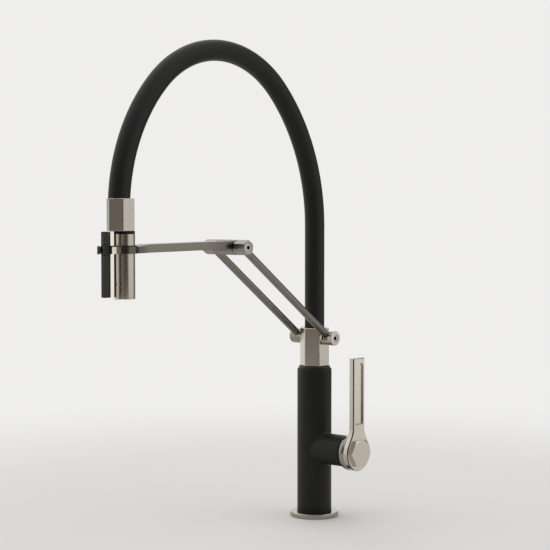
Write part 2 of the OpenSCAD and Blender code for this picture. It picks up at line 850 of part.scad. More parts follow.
module swivel_seal() {
    color(black) difference() {
        translate([0, wand_y, tube_top]) cylinder(r = tube_r - 0.2, h = seal_h);
        translate([0, wand_y, tube_top - cut]) cylinder(r = channel_r, h = seal_h + 2 * cut);
    }
}

fitting_r = (nut_forward + hose_forward) / 2 + channel_r + 1;
fitting_y = (wand_y + hose_end_y) / 2;
fitting_h = nut_h * 0.55;

module hose_nut() {
    color(nickel) difference() {
        translate([0, nut_y, nut_z0]) rotate(30)
            cylinder(r = nut_af / 2 / cos(30), h = nut_h, $fn = 6);
        translate([0, fitting_y, nut_z0 - cut]) cylinder(r = fitting_r, h = fitting_h + cut);
        translate([0, hose_end_y, nut_z0]) cylinder(r = water_hose_d / 2 + 0.3, h = far);
    }
}

module hose_fitting() {
    color(brass) difference() {
        translate([0, fitting_y, nut_z0]) cylinder(r = fitting_r, h = fitting_h - 0.4);
        translate([0, wand_y, nut_z0 - cut]) cylinder(r = channel_r, h = 6 + cut);
        translate([0, hose_end_y, nut_z0 + 4]) cylinder(r = channel_r, h = far);
        // the step across from the hose to the wand
        box([-channel_r, hose_end_y, nut_z0 + 4], [channel_r, wand_y, nut_z0 + 6]);
    }
}

// Spout hose

// One arc of a tube in the YZ plane. The tube starts at (y, z), where it has turned by the angle
// from, and bends towards -Y with radius bend until it has turned by the angle to.
module hose_arc(y, z, from, to, bend, outer, inner) {
    translate([0, y - bend * cos(from), z - bend * sin(from)]) rotate([90, 0, 90]) rotate(from)
        rotate_extrude(angle = to - from) translate([bend, 0]) difference() {
            circle(outer);
            circle(inner);
        }
}

// The whole run of one layer of the hose, cut flat where it stands on the nut
module hose_layer(outer, inner) {
    spare_turn = 4;
    difference() {
        union() {
            translate([0, 0, hose_z0]) difference() {
                cylinder(r = outer, h = riser_top - hose_z0);
                translate([0, 0, -cut]) cylinder(r = inner, h = far * 2);
            }
            hose_arc(0, riser_top, 0, shoulder_turn, bend_back_r, outer, inner);
            hose_arc(crown_y0, crown_z0, shoulder_turn, crown_turn, bend_top_r, outer, inner);
            hose_arc(crown_y1, crown_z0, crown_turn, bend_end + spare_turn, bend_end_r,
                outer, inner);
        }
        box([-far, hose_end_y - far / 4, nut_top - far], [far, hose_end_y + far / 4, nut_top]);
    }
}

module hose_sleeve() {
    color(black) hose_layer(hose_r, hose_r - sleeve_wall);
}

module support_spring() {
    color(steel) hose_layer(hose_r - sleeve_wall, hose_r - sleeve_wall - spring_t);
}

module water_hose() {
    color([0.3, 0.3, 0.32]) hose_layer(water_hose_d / 2, water_hose_d / 2 - water_hose_wall);
}

body_shell();
base_flange();
deck_gasket();
upper_bush();
lower_bush();
swivel_washer();
swivel_spindle();
spindle_seals();
retaining_clip();
valve_cartridge();
cartridge_nut();
mixer_rotor();
tilt_pin();
lever_stem();
lever_handle();
lever_cap();
cap_screw();
column_post();
shoulder_barrel_left();
shoulder_barrel_right();
shoulder_screws();
link_rod_left();
link_rod_right();
shoulder_washers();
elbow_barrel_left();
elbow_barrel_right();
elbow_pin();
elbow_screws();
elbow_washers();
support_arm();
dock_liner();
wand_tube();
spine_plate();
paddle_bracket();
spray_paddle();
paddle_pin();
diverter_pusher();
spray_face();
swivel_seal();
hose_nut();
hose_fitting();
hose_sleeve();
support_spring();
water_hose();
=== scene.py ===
# %% [markdown]
# # A pull down kitchen faucet
# The faucet is already solved as a mechanism: its bodies, joints and solids come in as a fixed
# frame. This lesson dresses that frame. Every piece is made in metres, where the frame says, and
# each piece of the faucet but the lengths of the hose rides on one of the frame's bodies, so that
# it still looks right when a joint moves.

# %% Load the frame
import json
from math import atan2, cos, degrees, hypot, pi, radians, sin, sqrt, tan

import bmesh
import bpy
from mathutils import Matrix, Vector


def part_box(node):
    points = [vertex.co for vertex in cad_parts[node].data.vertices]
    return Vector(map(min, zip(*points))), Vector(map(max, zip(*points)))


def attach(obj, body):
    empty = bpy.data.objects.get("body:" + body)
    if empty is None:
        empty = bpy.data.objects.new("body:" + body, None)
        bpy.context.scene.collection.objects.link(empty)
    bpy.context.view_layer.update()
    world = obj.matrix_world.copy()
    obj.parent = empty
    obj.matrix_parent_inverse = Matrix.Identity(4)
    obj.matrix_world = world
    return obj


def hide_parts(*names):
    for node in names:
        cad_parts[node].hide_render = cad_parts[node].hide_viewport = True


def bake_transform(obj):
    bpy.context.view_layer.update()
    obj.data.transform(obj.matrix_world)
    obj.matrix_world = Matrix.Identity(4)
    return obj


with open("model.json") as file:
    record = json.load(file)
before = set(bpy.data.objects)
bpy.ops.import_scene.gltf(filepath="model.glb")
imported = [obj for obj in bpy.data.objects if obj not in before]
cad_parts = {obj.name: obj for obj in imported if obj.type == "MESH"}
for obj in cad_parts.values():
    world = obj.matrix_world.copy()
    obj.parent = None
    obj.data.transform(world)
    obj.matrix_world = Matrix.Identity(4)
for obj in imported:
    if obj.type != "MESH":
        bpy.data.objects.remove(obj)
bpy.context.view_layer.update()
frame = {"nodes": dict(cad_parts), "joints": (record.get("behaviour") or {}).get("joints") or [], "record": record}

MM = 0.001

# %% [markdown]
# ## Where things are
# The joints give the axes that everything turns on, and the boxes of the nodes give the sizes.
# Reading both here keeps the looks in step with the mechanism: if a rod gets longer in the
# source, its dressed copy gets longer too.

# %% Axes and directions
joint_at = {j["name"]: Vector(j["pos_m"]) for j in frame["joints"] if "pos_m" in j}
shoulder = joint_at["shoulder_pitch"]
elbow = joint_at["elbow_pitch"]
valve = joint_at["mixer_turn"]
paddle_hub = joint_at["paddle_rock"]

RIGHT, BACK, UP = Vector((1, 0, 0)), Vector((0, 1, 0)), Vector((0, 0, 1))
rod_line = elbow - shoulder
rod_way = rod_line.normalized()
print("rods:", round(rod_line.length / MM, 1), "mm at",
      round(degrees(atan2(rod_way.z, -rod_way.y)), 1), "degrees")

# %% [markdown]
# ## The camera
# A long lens from a little above the middle of the faucet keeps its upright lines upright. The
# faucet is seen from its front right corner, so that the spout swings out to the left.

# %% Camera
CAMERA_AT = Vector((1.1987, -1.3722, 0.3792))
VIEW_AZIMUTH, VIEW_DOWN = radians(42.68), radians(2.51)
camera_data = bpy.data.cameras.new("camera")
camera_data.sensor_width, camera_data.lens = 36, 96.4
camera = bpy.data.objects.new("camera", camera_data)
camera.location = CAMERA_AT
camera.rotation_euler = (pi / 2 - VIEW_DOWN, 0, VIEW_AZIMUTH)
bpy.context.scene.collection.objects.link(camera)
bpy.context.scene.camera = camera
bpy.context.scene.view_settings.view_transform = "Standard"
print("camera:", round(camera_data.lens, 1), "mm lens,",
      round(CAMERA_AT.length, 2), "m from the base")

# %% [markdown]
# ## Shader maths in plain expressions
# A material is a graph, but its maths reads better as formulas. `Value` wraps one output of a
# node, and its operators add Math nodes, so `1 - streaks * 0.2` is three numbers and two nodes.
# `Graph.node` adds any other node.

# %% Values and graphs


class Value:
    """One output of a node. Sums and products of values add Math nodes."""

    def __init__(self, graph, socket):
        self.graph, self.socket = graph, socket

    def _math(self, operation, *values):
        return self.graph.node("ShaderNodeMath", {"operation": operation}, values)

    def __add__(self, other): return self._math("ADD", self, other)
    def __radd__(self, other): return self._math("ADD", other, self)
    def __sub__(self, other): return self._math("SUBTRACT", self, other)
    def __rsub__(self, other): return self._math("SUBTRACT", other, self)
    def __mul__(self, other): return self._math("MULTIPLY", self, other)
    def __rmul__(self, other): return self._math("MULTIPLY", other, self)

    def ramp(self, low, high):
        """0 below low, 1 above high, and a smooth step between them."""
        settings = {"interpolation_type": "SMOOTHSTEP"}
        return self.graph.node("ShaderNodeMapRange", settings,
                               {"Value": self, "From Min": low, "From Max": high})


class Graph:
    """The nodes of one material or of the world."""

    def __init__(self, tree):
        self.tree = tree
        tree.nodes.clear()

    def node(self, kind, settings=None, inputs=(), output=0):
        """A node of a kind: its settings come first, then the values or links of its sockets."""
        made = self.tree.nodes.new(kind)
        for name, value in (settings or {}).items():
            setattr(made, name, value)
        pairs = inputs.items() if isinstance(inputs, dict) else enumerate(inputs)
        for name, value in pairs:
            if isinstance(value, Value):
                self.tree.links.new(value.socket, made.inputs[name])
            elif value is not None:
                made.inputs[name].default_value = value
        return Value(self, made.outputs[output]) if len(made.outputs) else made

    def mix(self, low, high, share):
        """A colour between two colours."""
        inputs = {0: share, 6: low, 7: high}
        return self.node("ShaderNodeMix", {"data_type": "RGBA"}, inputs, output=2)

    def place(self):
        """Where a point is on the object, in metres."""
        return self.node("ShaderNodeTexCoord", output=3)

    def along(self, vector, way):
        """How far a vector reaches along a direction."""
        settings = {"operation": "DOT_PRODUCT"}
        return self.node("ShaderNodeVectorMath", settings, (vector, tuple(way)), output=1)

    def noise(self, vector, scale, detail=2.0, roughness=0.5):
        """Soft noise from 0 to 1: scale is how many lumps there are to a metre."""
        inputs = {"Vector": vector, "Scale": scale, "Detail": detail, "Roughness": roughness}
        return self.node("ShaderNodeTexNoise", None, inputs)


class Finish(Graph):
    """A material for one kind of surface: a Principled shader with constants set on its sockets."""

    def __init__(self, name, **constants):
        self.material = bpy.data.materials.new(name)
        self.material.use_nodes = True
        super().__init__(self.material.node_tree)
        self.shader = self.tree.nodes.new("ShaderNodeBsdfPrincipled")
        out = self.tree.nodes.new("ShaderNodeOutputMaterial")
        self.tree.links.new(self.shader.outputs[0], out.inputs[0])
        for socket, value in constants.items():
            self.shader.inputs[socket.replace("_", " ")].default_value = value

    def set(self, socket, value):
        """Links a value to a socket of the shader."""
        self.tree.links.new(value.socket, self.shader.inputs[socket])

    def bump(self, height, strength, distance):
        """Lets a height from 0 to 1 tilt the normal, as relief of a depth in metres."""
        inputs = {"Height": height, "Strength": strength, "Distance": distance}
        self.set("Normal", self.node("ShaderNodeBump", None, inputs))


def tint(colour, factor):
    """A colour made lighter or darker, as the four numbers that a socket takes."""
    return (*(min(1.0, c * factor) for c in colour), 1.0)


# %% [markdown]
# ## Brushed nickel
# The bars, the nut and the lever are plated and then brushed with an abrasive belt, which leaves
# fine parallel scratches. Each piece was held to the belt its own way, so the finish is a
# function of the direction of brushing. Noise stretched along that direction makes the
# scratches: fine ones that soften the reflection as bump, and broader ones that can be seen as
# faint streaks of tint and roughness. A turned piece has its scratches round an axis instead: they
# are long in every direction of a plane, and thin only across it. Many pieces also get a lighter
# or darker copy of the nickel, and some a lighter or darker zone: that is painted light and
# shade, standing in for how the light falls on each piece.

# %% Brushed nickel
NICKEL = (0.51, 0.474, 0.418)
FINE, BROAD = (9 * MM, 0.2 * MM), (45 * MM, 0.9 * MM)     # length and width of the scratches
CLOUD = 25 * MM                                           # size of the soft patches of tint
STREAK = 0.12                                             # how far the tint departs from the shade


def brushed(name, way, shade=1.0, roughness=0.27, colour=NICKEL, around=False, painted_zones=()):
    """Metal brushed along a direction, or around it. A painted zone (way, start, end, shade) paints
    light and shade: the colour fades to a lighter or darker shade of its own between two distances
    from the origin along a way."""
    f = Finish(name, Metallic=1.0, IOR=2.0)
    z = Vector(way).normalized()
    x = z.orthogonal().normalized()
    here = f.place()
    across = f.along(here, x), f.along(here, z.cross(x))

    def scratches(length, width):
        across_way, along_way = (length, width) if around else (width, length)
        stretched = f.node("ShaderNodeCombineXYZ", None, (
            across[0] * (1 / across_way), across[1] * (1 / across_way),
            f.along(here, z) * (1 / along_way)))
        return f.noise(stretched, 1.0, 3.0, 0.6)

    fine, broad = scratches(*FINE), scratches(*BROAD)
    share = broad * 0.5 + fine * 0.25 + f.noise(here, 1 / CLOUD, 2.0) * 0.25

    def streaked(level):
        return f.mix(tint(colour, level * (1 - STREAK)), tint(colour, level * (1 + STREAK)), share)

    shown = streaked(shade)
    # Painted light and shade: each zone lightens or darkens the colour by where a point lies on the piece.
    for painted_way, start, end, painted_level in painted_zones:
        shown = f.mix(shown, streaked(painted_level), f.along(here, painted_way).ramp(start, end))
    f.set("Base Color", shown)
    f.set("Roughness", roughness - 0.06 + broad * 0.08 + fine * 0.04)
    f.bump(fine, 0.1, 0.006 * MM)
    return f.material


LEFT_FLAT = (-0.5, -0.866, 0)                # square to the front left flat of a hexagon
nickel_upright = brushed("nickel brushed across the column", UP, 1.0, 0.25, around=True)
nickel_turned = brushed("nickel turned", UP, 0.97, 0.25, around=True)
# Painted shade: a zone darkens the front left flat of the nut.
nickel_nut_painted_shade = brushed("nickel turned at the nut", UP, 0.97, 0.25, around=True, painted_zones=(
    (LEFT_FLAT, 288.0 * MM, 288.9 * MM, 0.2),))
# Painted shade: the base flange is a darker copy of the nickel.
nickel_flange_painted_shade = brushed("nickel turned at the base", UP, 0.72, 0.25, around=True)
# Painted highlight: the rib is polished, and its colour is also lightened well past the nickel's.
nickel_rib_painted_highlight = brushed("nickel polished rib with painted highlight", UP, 1.75, 0.2)
# Painted light and shade: the arm is a darker copy of the nickel, darker still towards the elbow and round the
# ring, and its ears are lightened as a painted highlight.
nickel_arm_painted_light_and_shade = brushed("nickel brushed along the arm", BACK, 0.4, 0.28, painted_zones=(
    (BACK, -195 * MM, -172 * MM, 0.32), (-BACK, 282 * MM, 296 * MM, 0.25),
    (-BACK, 327.4 * MM, 331.0 * MM, 1.45)))
# Painted shade: the rods are a darker copy of the nickel.
nickel_rod_painted_shade = brushed("nickel brushed along the rods", rod_way, 0.4, 0.27)
# Painted shade: the elbow is a darker copy of the nickel.
nickel_elbow_painted_shade = brushed("nickel turned at the elbow", RIGHT, 0.5, 0.34, around=True)
# Painted shade: the shoulder barrel is a slightly darker copy of the nickel.
nickel_barrel_painted_shade = brushed("nickel turned at the shoulder", RIGHT, 0.85, 0.3, around=True)
# Painted shade: the rear shoulder barrel is darker again.
nickel_rear_barrel_painted_shade = brushed("nickel turned at the rear shoulder", RIGHT, 0.55, 0.24, around=True)
nickel_lever = brushed("nickel brushed along the lever", UP, 0.97, 0.22)
# Painted light: the forward faces of the lever are a lighter copy of the nickel.
nickel_face_painted_light = brushed("nickel on the face of the lever", UP, 1.3, 0.24)
# Painted light: the cap is a lighter copy of the nickel.
nickel_cap_painted_light = brushed("nickel cap", RIGHT, 1.2, 0.24, around=True)
# Painted shade: the front chamfer of the lever is a much darker copy of the nickel.
nickel_chamfer_painted_shade = brushed("nickel in the chamfer of the lever", UP, 0.3, 0.24)
# Painted light: the outer end faces of the elbow are lighter than its sides.
nickel_end_painted_light = brushed("nickel end faces of the elbow", RIGHT, 0.74, 0.24, around=True)
# Painted shade: the skirt is a darker copy of the nickel.
nickel_skirt_painted_shade = brushed("nickel turned at the skirt", RIGHT, 0.6, 0.22, around=True)
# Painted light: the screw heads and the outer faces of the shoulder barrels are a lighter copy of the nickel.
nickel_screw_painted_light = brushed("nickel screw heads", RIGHT, 1.08, 0.22, around=True)
print("nickel finishes:", len(bpy.data.materials))

# %% [markdown]
# ## The dark finishes and the hidden metals
# Powder coat is not flat black: it melts into a very fine orange peel, which softens every
# highlight. Moulded plastic has a finer, even grain, rubber is duller, and the silicone sleeve
# of the hose is smooth with a faint bloom. The brass, steel, ceramic and acetal parts inside
# are seen only when a joint opens, but they get their own finish as well.

# %% Grained finishes


def grained(name, colour, roughness, grain, depth, spread=0.2, **constants):
    """A matt surface with a fine even grain: grain is its size and depth its height, in metres."""
    f = Finish(name, **constants)
    here = f.place()
    fine = f.noise(here, 1 / grain, 2.0)
    broad = f.noise(here, 1 / (30 * MM), 3.0)
    f.set("Base Color", f.mix(tint(colour, 1 - spread), tint(colour, 1 + spread), broad))
    f.set("Roughness", roughness - 0.05 + fine * 0.06 + broad * 0.04)
    f.bump(fine, 0.5, depth)
    return f.material


powder_coat = grained("matte black powder coat", (0.0085, 0.0087, 0.009), 0.52,
                      0.5 * MM, 0.02 * MM, IOR=1.32)
satin_plastic = grained("satin black plastic", (0.011, 0.0105, 0.01), 0.42,
                        0.25 * MM, 0.012 * MM, IOR=1.4)
seal_black = grained("black rubber", (0.009, 0.009, 0.0092), 0.65, 0.3 * MM, 0.02 * MM, IOR=1.35)
sleeve_black = grained("black silicone sleeve", (0.0085, 0.0085, 0.0088), 0.5,
                       0.4 * MM, 0.008 * MM, IOR=1.33)
hose_grey = grained("reinforced water hose", (0.22, 0.22, 0.24), 0.5, 0.6 * MM, 0.05 * MM)
black_acetal = grained("black acetal", (0.02, 0.02, 0.021), 0.4, 0.3 * MM, 0.01 * MM)
alumina = grained("ground alumina", (0.82, 0.82, 0.8), 0.15, 0.4 * MM, 0.004 * MM, 0.03)
turned_brass = brushed("turned brass", UP, 1.0, 0.25, (0.72, 0.52, 0.24))
plain_steel = brushed("stainless steel", UP, 1.0, 0.25, (0.56, 0.55, 0.53))
# Dark steel for the paddle's pin; the same near black finish also paints shade inside the screw sockets.
oxide_and_socket_shade = grained("black oxide", (0.012, 0.011, 0.01), 0.5, 0.3 * MM, 0.01 * MM)

FINISH_OF_SLOT = {
    "matte_black": powder_coat, "nickel": nickel_upright, "screw_nickel": nickel_screw_painted_light,
    "black_plastic": satin_plastic, "seal_rubber": seal_black, "bearing_plastic": black_acetal,
    "ceramic": alumina, "brass": turned_brass, "steel": plain_steel,
    "hose_sleeve": sleeve_black, "water_hose": hose_grey,
}
slot_of_node = {s["node"]: s["material_slot"] for s in frame["record"]["subparts"]}
for name, node in frame["nodes"].items():
    node.data.materials.clear()
    node.data.materials.append(FINISH_OF_SLOT[slot_of_node[name]])
    node.data.shade_smooth()
print("finishes:", len(bpy.data.materials))

# %% [markdown]
# ## Outlines and round corners
# Machined parts have sharp-looking edges that still catch the light, because a real edge is
# always a little round. An outline here is a list of corners, each with its own radius, and
# `rounded` turns every corner into an arc.

# %% Outlines


def rounded(corners, steps=5):
    """Corners (x, y, radius) joined by straight lines, each corner turned into an arc."""
    points = []
    for i, (x, y, radius) in enumerate(corners):
        corner = Vector((x, y))
        before = Vector(corners[i - 1][:2]) - corner
        after = Vector(corners[(i + 1) % len(corners)][:2]) - corner
        half = before.angle(after) / 2
        reach = min(radius / tan(half), 0.49 * min(before.length, after.length))
        if reach < 1e-7:
            points.append((x, y))
            continue
        radius = reach * tan(half)
        inwards = (before.normalized() + after.normalized()).normalized()
        centre = corner + inwards * radius / sin(half)
        first = corner + before.normalized() * reach - centre
        last = corner + after.normalized() * reach - centre
        turn = atan2(first.x * last.y - first.y * last.x, first.dot(last))
        for k in range(steps + 1):
            spoke = Matrix.Rotation(turn * k / steps, 2) @ first
            points.append(tuple(centre + spoke))
    return points


def arc(centre, radius, start, end, steps=24):
    """Points round a centre, from one angle to another, in radians."""
    spokes = [start + (end - start) * k / steps for k in range(steps + 1)]
    return [(centre[0] + radius * cos(a), centre[1] + radius * sin(a)) for a in spokes]


def hexagon(across_corners, first=0.0):
    """Six corners on a circle, the first at an angle in radians."""
    return arc((0, 0), across_corners / 2, first, first + 5 * pi / 3, 5)


def block_outline(low_x, low_y, high_x, high_y):
    """The four corners of a rectangle."""
    return [(low_x, low_y), (high_x, low_y), (high_x, high_y), (low_x, high_y)]


print("points in a rounded corner:", len(rounded([(0, 0, 1), (4, 0, 0), (4, 4, 0), (0, 4, 0)])) - 3)


# %% [markdown]
# ## Turning, extruding, cutting
# Almost every piece was made on a lathe, from bar stock or on a mill, so there are three ways to
# make a mesh: spin a profile, push an outline through a thickness, or loft sections along a
# line. Each is made round the local Z axis and then stood up where it belongs. Boolean cuts make
# slots and sockets, and a bevel breaks the edges that are left.

# %% Standing a mesh up


def stand(origin, axis=UP, front=RIGHT):
    """The matrix that puts a mesh made along local Z at origin, with its Z along axis."""
    z = Vector(axis).normalized()
    x = (Vector(front) - z * z.dot(Vector(front))).normalized()
    turned_to = Matrix((x, z.cross(x), z)).transposed().to_4x4()
    turned_to.translation = origin
    return turned_to


ALONG_X = Matrix(((0, 0, 1), (1, 0, 0), (0, 1, 0))).to_4x4()   # local x, y, z become Y, Z, X


def on_x_axis(at=(0, 0, 0)):
    """A matrix that lays local Z along X, with local x along Y and local y along Z."""
    return Matrix.Translation(at) @ ALONG_X


def piece(name, mesh, place=Matrix()):
    """An object from a bmesh, with its faces turned outwards and shaded smooth."""
    bmesh.ops.remove_doubles(mesh, verts=mesh.verts, dist=1e-7)
    bmesh.ops.recalc_face_normals(mesh, faces=mesh.faces)
    mesh.transform(place)
    data = bpy.data.meshes.new(name)
    mesh.to_mesh(data)
    mesh.free()
    data.shade_smooth()
    made = bpy.data.objects.new(name, data)
    bpy.context.scene.collection.objects.link(made)
    return made


def tell(*made):
    """Prints what a cell made: each name, its faces and its size."""
    bpy.context.view_layer.update()
    for one in made:
        size = " x ".join(str(round(side / MM, 1)) for side in one.dimensions)
        print(one.name + ":", len(one.data.polygons), "faces,", size, "mm")


# %% [markdown]
# ## Rows of rings
# All three ways end in the same mesh: rows of points with quads between them. `skin` makes it,
# and the others only say where the rings are.

# %% Three ways to make a mesh


def skin(rings, closed=False, caps=True):
    """A mesh over a run of rings of points; each ring has as many points, or one at a pole."""
    mesh = bmesh.new()
    rows = [[mesh.verts.new(p) for p in ring] for ring in rings]
    pairs = list(zip(rows, rows[1:])) + ([(rows[-1], rows[0])] if closed else [])
    for low, high in pairs:
        count = max(len(low), len(high))
        for i in range(count):
            j = (i + 1) % count
            corners = (low[i % len(low)], low[j % len(low)],
                       high[j % len(high)], high[i % len(high)])
            mesh.faces.new(list(dict.fromkeys(corners)))
    if caps and not closed:
        for ring in (rows[0], rows[-1]):
            if len(ring) > 2:
                mesh.faces.new(ring)
    return mesh


def turned(profile, closed=False, steps=96):
    """A profile of (radius, height) spun round Z. A closed profile makes a ring."""
    angles = [2 * pi * i / steps for i in range(steps)]
    rings = [[(r * cos(a), r * sin(a), h) for a in angles] if r > 1e-7 else [(0, 0, h)]
             for r, h in profile]
    return skin(rings, closed)


def extruded(outline, low, high):
    """An outline in XY pushed from one height to another."""
    return skin([[(x, y, z) for x, y in outline] for z in (low, high)])


def disc(radius, low, high, round_low=0.0, round_high=0.0, steps=96):
    """A solid cylinder with rounded rims."""
    rim = rounded([(0, low, 0), (radius, low, round_low),
                   (radius, high, round_high), (0, high, 0)])
    return turned(rim, steps=steps)


def collar(inner, outer, low, high, edge):
    """A ring with a square section whose edges are rounded."""
    section = [(inner, low, edge), (outer, low, edge), (outer, high, edge), (inner, high, edge)]
    return turned(rounded(section), closed=True)


def block(low, high):
    """A box between two corners."""
    return extruded(block_outline(low[0], low[1], high[0], high[1]), low[2], high[2])


# %% [markdown]
# ## Cutting and dressing
# A boolean takes its tool away once it is done, so that no cutter is left in the scene. Dressing
# a piece gives it its finish, the body that carries it, and the nodes that it stands for.

# %% Cutting, joining and breaking edges


def combine(target, tools, operation):
    """A boolean between a piece and some tools."""
    for tool in tools:
        step = target.modifiers.new("combine", "BOOLEAN")
        step.operation, step.solver, step.object = operation, "EXACT", tool
    return settle(target, tools)


def settle(target, tools=()):
    """Applies the modifiers of a piece and removes the tools they used."""
    bpy.context.view_layer.update()
    ready = target.evaluated_get(bpy.context.evaluated_depsgraph_get())
    old = target.data
    target.data = bpy.data.meshes.new_from_object(ready)
    target.data.name = old.name
    target.modifiers.clear()
    bpy.data.meshes.remove(old)
    for tool in tools:
        bpy.data.objects.remove(tool)
    return target


def cut(target, *tools):
    return combine(target, tools, "DIFFERENCE")


def join(target, *tools):
    return combine(target, tools, "UNION")


def common(target, *tools):
    return combine(target, tools, "INTERSECT")


def tool(mesh, place=Matrix()):
    """A cutter: a piece that is removed once it has been used."""
    return piece("cutter", mesh, place)


def break_edges(target, width, segments=2, angle=28):
    """Bevels every edge sharper than an angle, in degrees."""
    step = target.modifiers.new("edges", "BEVEL")
    step.width, step.segments, step.limit_method = width, segments, "ANGLE"
    step.angle_limit, step.harden_normals = radians(angle), True
    step.miter_outer = "MITER_ARC"
    return target


def dress(target, body, finish, *nodes):
    """Gives a piece its finish, its body, and the nodes that it stands for."""
    target.data.materials.clear()
    target.data.materials.append(finish)
    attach(target, body)
    if nodes:
        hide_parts(*nodes)
    return target


def repaint(target, finish, chosen):
    """Gives the faces that a test picks, by centre and normal, a finish of their own; in this script that finish
    always paints light or shade on them.
    """
    target.data.materials.append(finish)
    for face in target.data.polygons:
        if chosen(face.center, face.normal):
            face.material_index = len(target.data.materials) - 1
    return target


# %% [markdown]
# ## Base flange
# A turned and plated ring, 60 mm across, hides the edge of the deck hole. It is one closed
# section spun round the body: a rounded top edge that catches the light, and a small gap to the
# body that stays dark.

# %% Base flange
body_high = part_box("body_shell")[1]
body_radius, body_top = body_high.y, body_high.z
flange_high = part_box("base_flange")[1]
FLANGE_GAP = 0.2 * MM
flange = piece("flange", turned(rounded([
    (body_radius + FLANGE_GAP, 0, 0.2 * MM), (flange_high.y, 0, 0.5 * MM),
    (flange_high.y, flange_high.z, 1.0 * MM), (body_radius + FLANGE_GAP, flange_high.z, 0.4 * MM)]),
    closed=True, steps=128))
# The flange's finish is a darker nickel, as painted shade.
dress(flange, "base", nickel_flange_painted_shade, "base_flange")
tell(flange)

# %% [markdown]
# ## Body with the valve boss
# The body is a coated tube with a round boss for the valve cartridge, and the two flow into each
# other through a soft fillet. A fillet between two round bars is easiest one flat slice at a
# time: in the slice that holds the axis of the boss, the body is an ellipse and the boss is a
# line, and the fillet is the circle that touches both. Spinning the slice round the boss gives a
# flared bar, which a boolean then joins to the tube.

# %% The flared boss
boss_end = body_high.x
BOSS_RADIUS = 19 * MM
BOSS_STEPS = 96
FILLET = 5.5 * MM
SINK = 0.02 * MM          # the flare dips this far into the tube, so that the two really meet


def boss_slice(angle, steps=10):
    """Points (along, out) of the flared boss in the slice at an angle round its axis."""
    bend = cos(angle) ** 2
    inside = body_radius - SINK
    out_centre = BOSS_RADIUS + FILLET

    def reach(out):
        ahead = sqrt(max(inside * inside - out * out * bend, 0.0))
        return ahead, sqrt(ahead * ahead + (out * bend) ** 2)

    low, high = 0.0, min(out_centre, inside / max(abs(cos(angle)), 1e-6))
    for _ in range(50):
        out = (low + high) / 2
        ahead, length = reach(out)
        if out + FILLET * out * bend / length < out_centre:
            low = out
        else:
            high = out
    centre = ahead * (1 + FILLET / length)
    start = atan2(out - out_centre, ahead - centre)
    if start > 0:
        start -= 2 * pi
    return arc((centre, out_centre), FILLET, start, -pi / 2, steps)


boss_angles = [2 * pi * i / BOSS_STEPS for i in range(BOSS_STEPS)]
slices = [boss_slice(a) for a in boss_angles]
flare_rings = [[(r * cos(a), r * sin(a), x) for a, (x, r) in zip(boss_angles, ring)]
               for ring in zip(*slices)]
INNER = 0.8                                  # the flare starts narrower, inside the tube
inner_ring = [(r * INNER * cos(a), r * INNER * sin(a), 0.0)
              for a, (x, r) in zip(boss_angles, slices[0])]
rim = rounded([(BOSS_RADIUS, boss_end - 4 * MM, 0), (BOSS_RADIUS, boss_end, 0.8 * MM),
               (0, boss_end, 0)])[:-1]
rim_rings = [[(r * cos(a), r * sin(a), x) for a in boss_angles] for r, x in rim]
boss = tool(skin([inner_ring] + flare_rings + rim_rings), on_x_axis((0, 0, valve.z)))
print("boss:", len(slices), "slices,", len(boss.data.polygons), "faces")

# %% [markdown]
# ## Body
# The tube is turned with a round top rim. The bore for the bush and the mouth of the boss are cut
# only as deep as they can be seen.

# %% Body
BORE_SEEN, MOUTH_RADIUS = 12 * MM, 15.5 * MM
bush_low, bush_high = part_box("upper_bush")
spindle_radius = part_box("swivel_spindle")[1].x
body = piece("body", disc(body_radius, 0, body_top, 0.3 * MM, 1.5 * MM, steps=160))
join(body, boss)
cut(body, tool(disc(bush_high.x, body_top - BORE_SEEN, body_top + MM)),
    tool(disc(MOUTH_RADIUS, boss_end - BORE_SEEN, boss_end + MM), on_x_axis((0, 0, valve.z))))
break_edges(body, 0.35 * MM, 2, 60)
dress(body, "base", powder_coat, "body_shell")
tell(body)

# %% [markdown]
# ## Bearing ring and bush
# A black plastic ring stands on the rim of the body, and the column turns on it. The bush below
# it guides the spindle. Both are closed sections spun round the axis.

# %% Bearing ring and bush
washer_low, washer_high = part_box("swivel_washer")
washer_bore = spindle_radius + 0.1 * MM
washer = piece("bearing_ring", turned(rounded([
    (washer_bore, washer_low.z, 0.1 * MM), (washer_high.x, washer_low.z, 0.1 * MM),
    (washer_high.x, washer_high.z, 1.0 * MM), (washer_bore, washer_high.z, 0.1 * MM)]),
    closed=True, steps=128))
dress(washer, "base", satin_plastic, "swivel_washer")
bush = piece("bush", collar(spindle_radius + 0.05 * MM, bush_high.x - 0.05 * MM, bush_low.z,
                            body_top - 0.1 * MM, 0.1 * MM))
dress(bush, "base", black_acetal, "upper_bush")
tell(washer, bush)

# %% [markdown]
# ## Hexagon column
# The column is cut from hexagon bar, so its corners are the interest: each one is a narrow
# rounded strip that shines between two darker flats. An extruded hexagon with a bevel gives
# that, and a bored socket in the top takes the hose.

# %% Column
column_low, column_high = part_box("column_post")
column_flats = column_high.x - column_low.x
hose_low, hose_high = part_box("hose_sleeve")
HOSE_RADIUS = hose_high.x
SOCKET_PLAY, SOCKET_SEEN = 0.35 * MM, 6 * MM
column = piece("column", extruded(hexagon(column_flats / cos(pi / 6), pi / 2),
                                  column_low.z, column_high.z))
break_edges(column, 1.25 * MM, 4)
settle(column)
cut(column, tool(disc(HOSE_RADIUS + SOCKET_PLAY, column_high.z - SOCKET_SEEN, column_high.z + MM)))
break_edges(column, 0.2 * MM, 2, 50)
dress(column, "column", nickel_upright, "column_post")
tell(column)

# %% [markdown]
# ## Shoulder barrels
# On each side of the column a short turned barrel holds the lower end of a link rod. It is
# slotted for the rod's flat eye, with a small lug at the top of the inner cheek that stops the
# linkage. The slot is one round cutter round the pivot and one wedge that opens forwards and up.

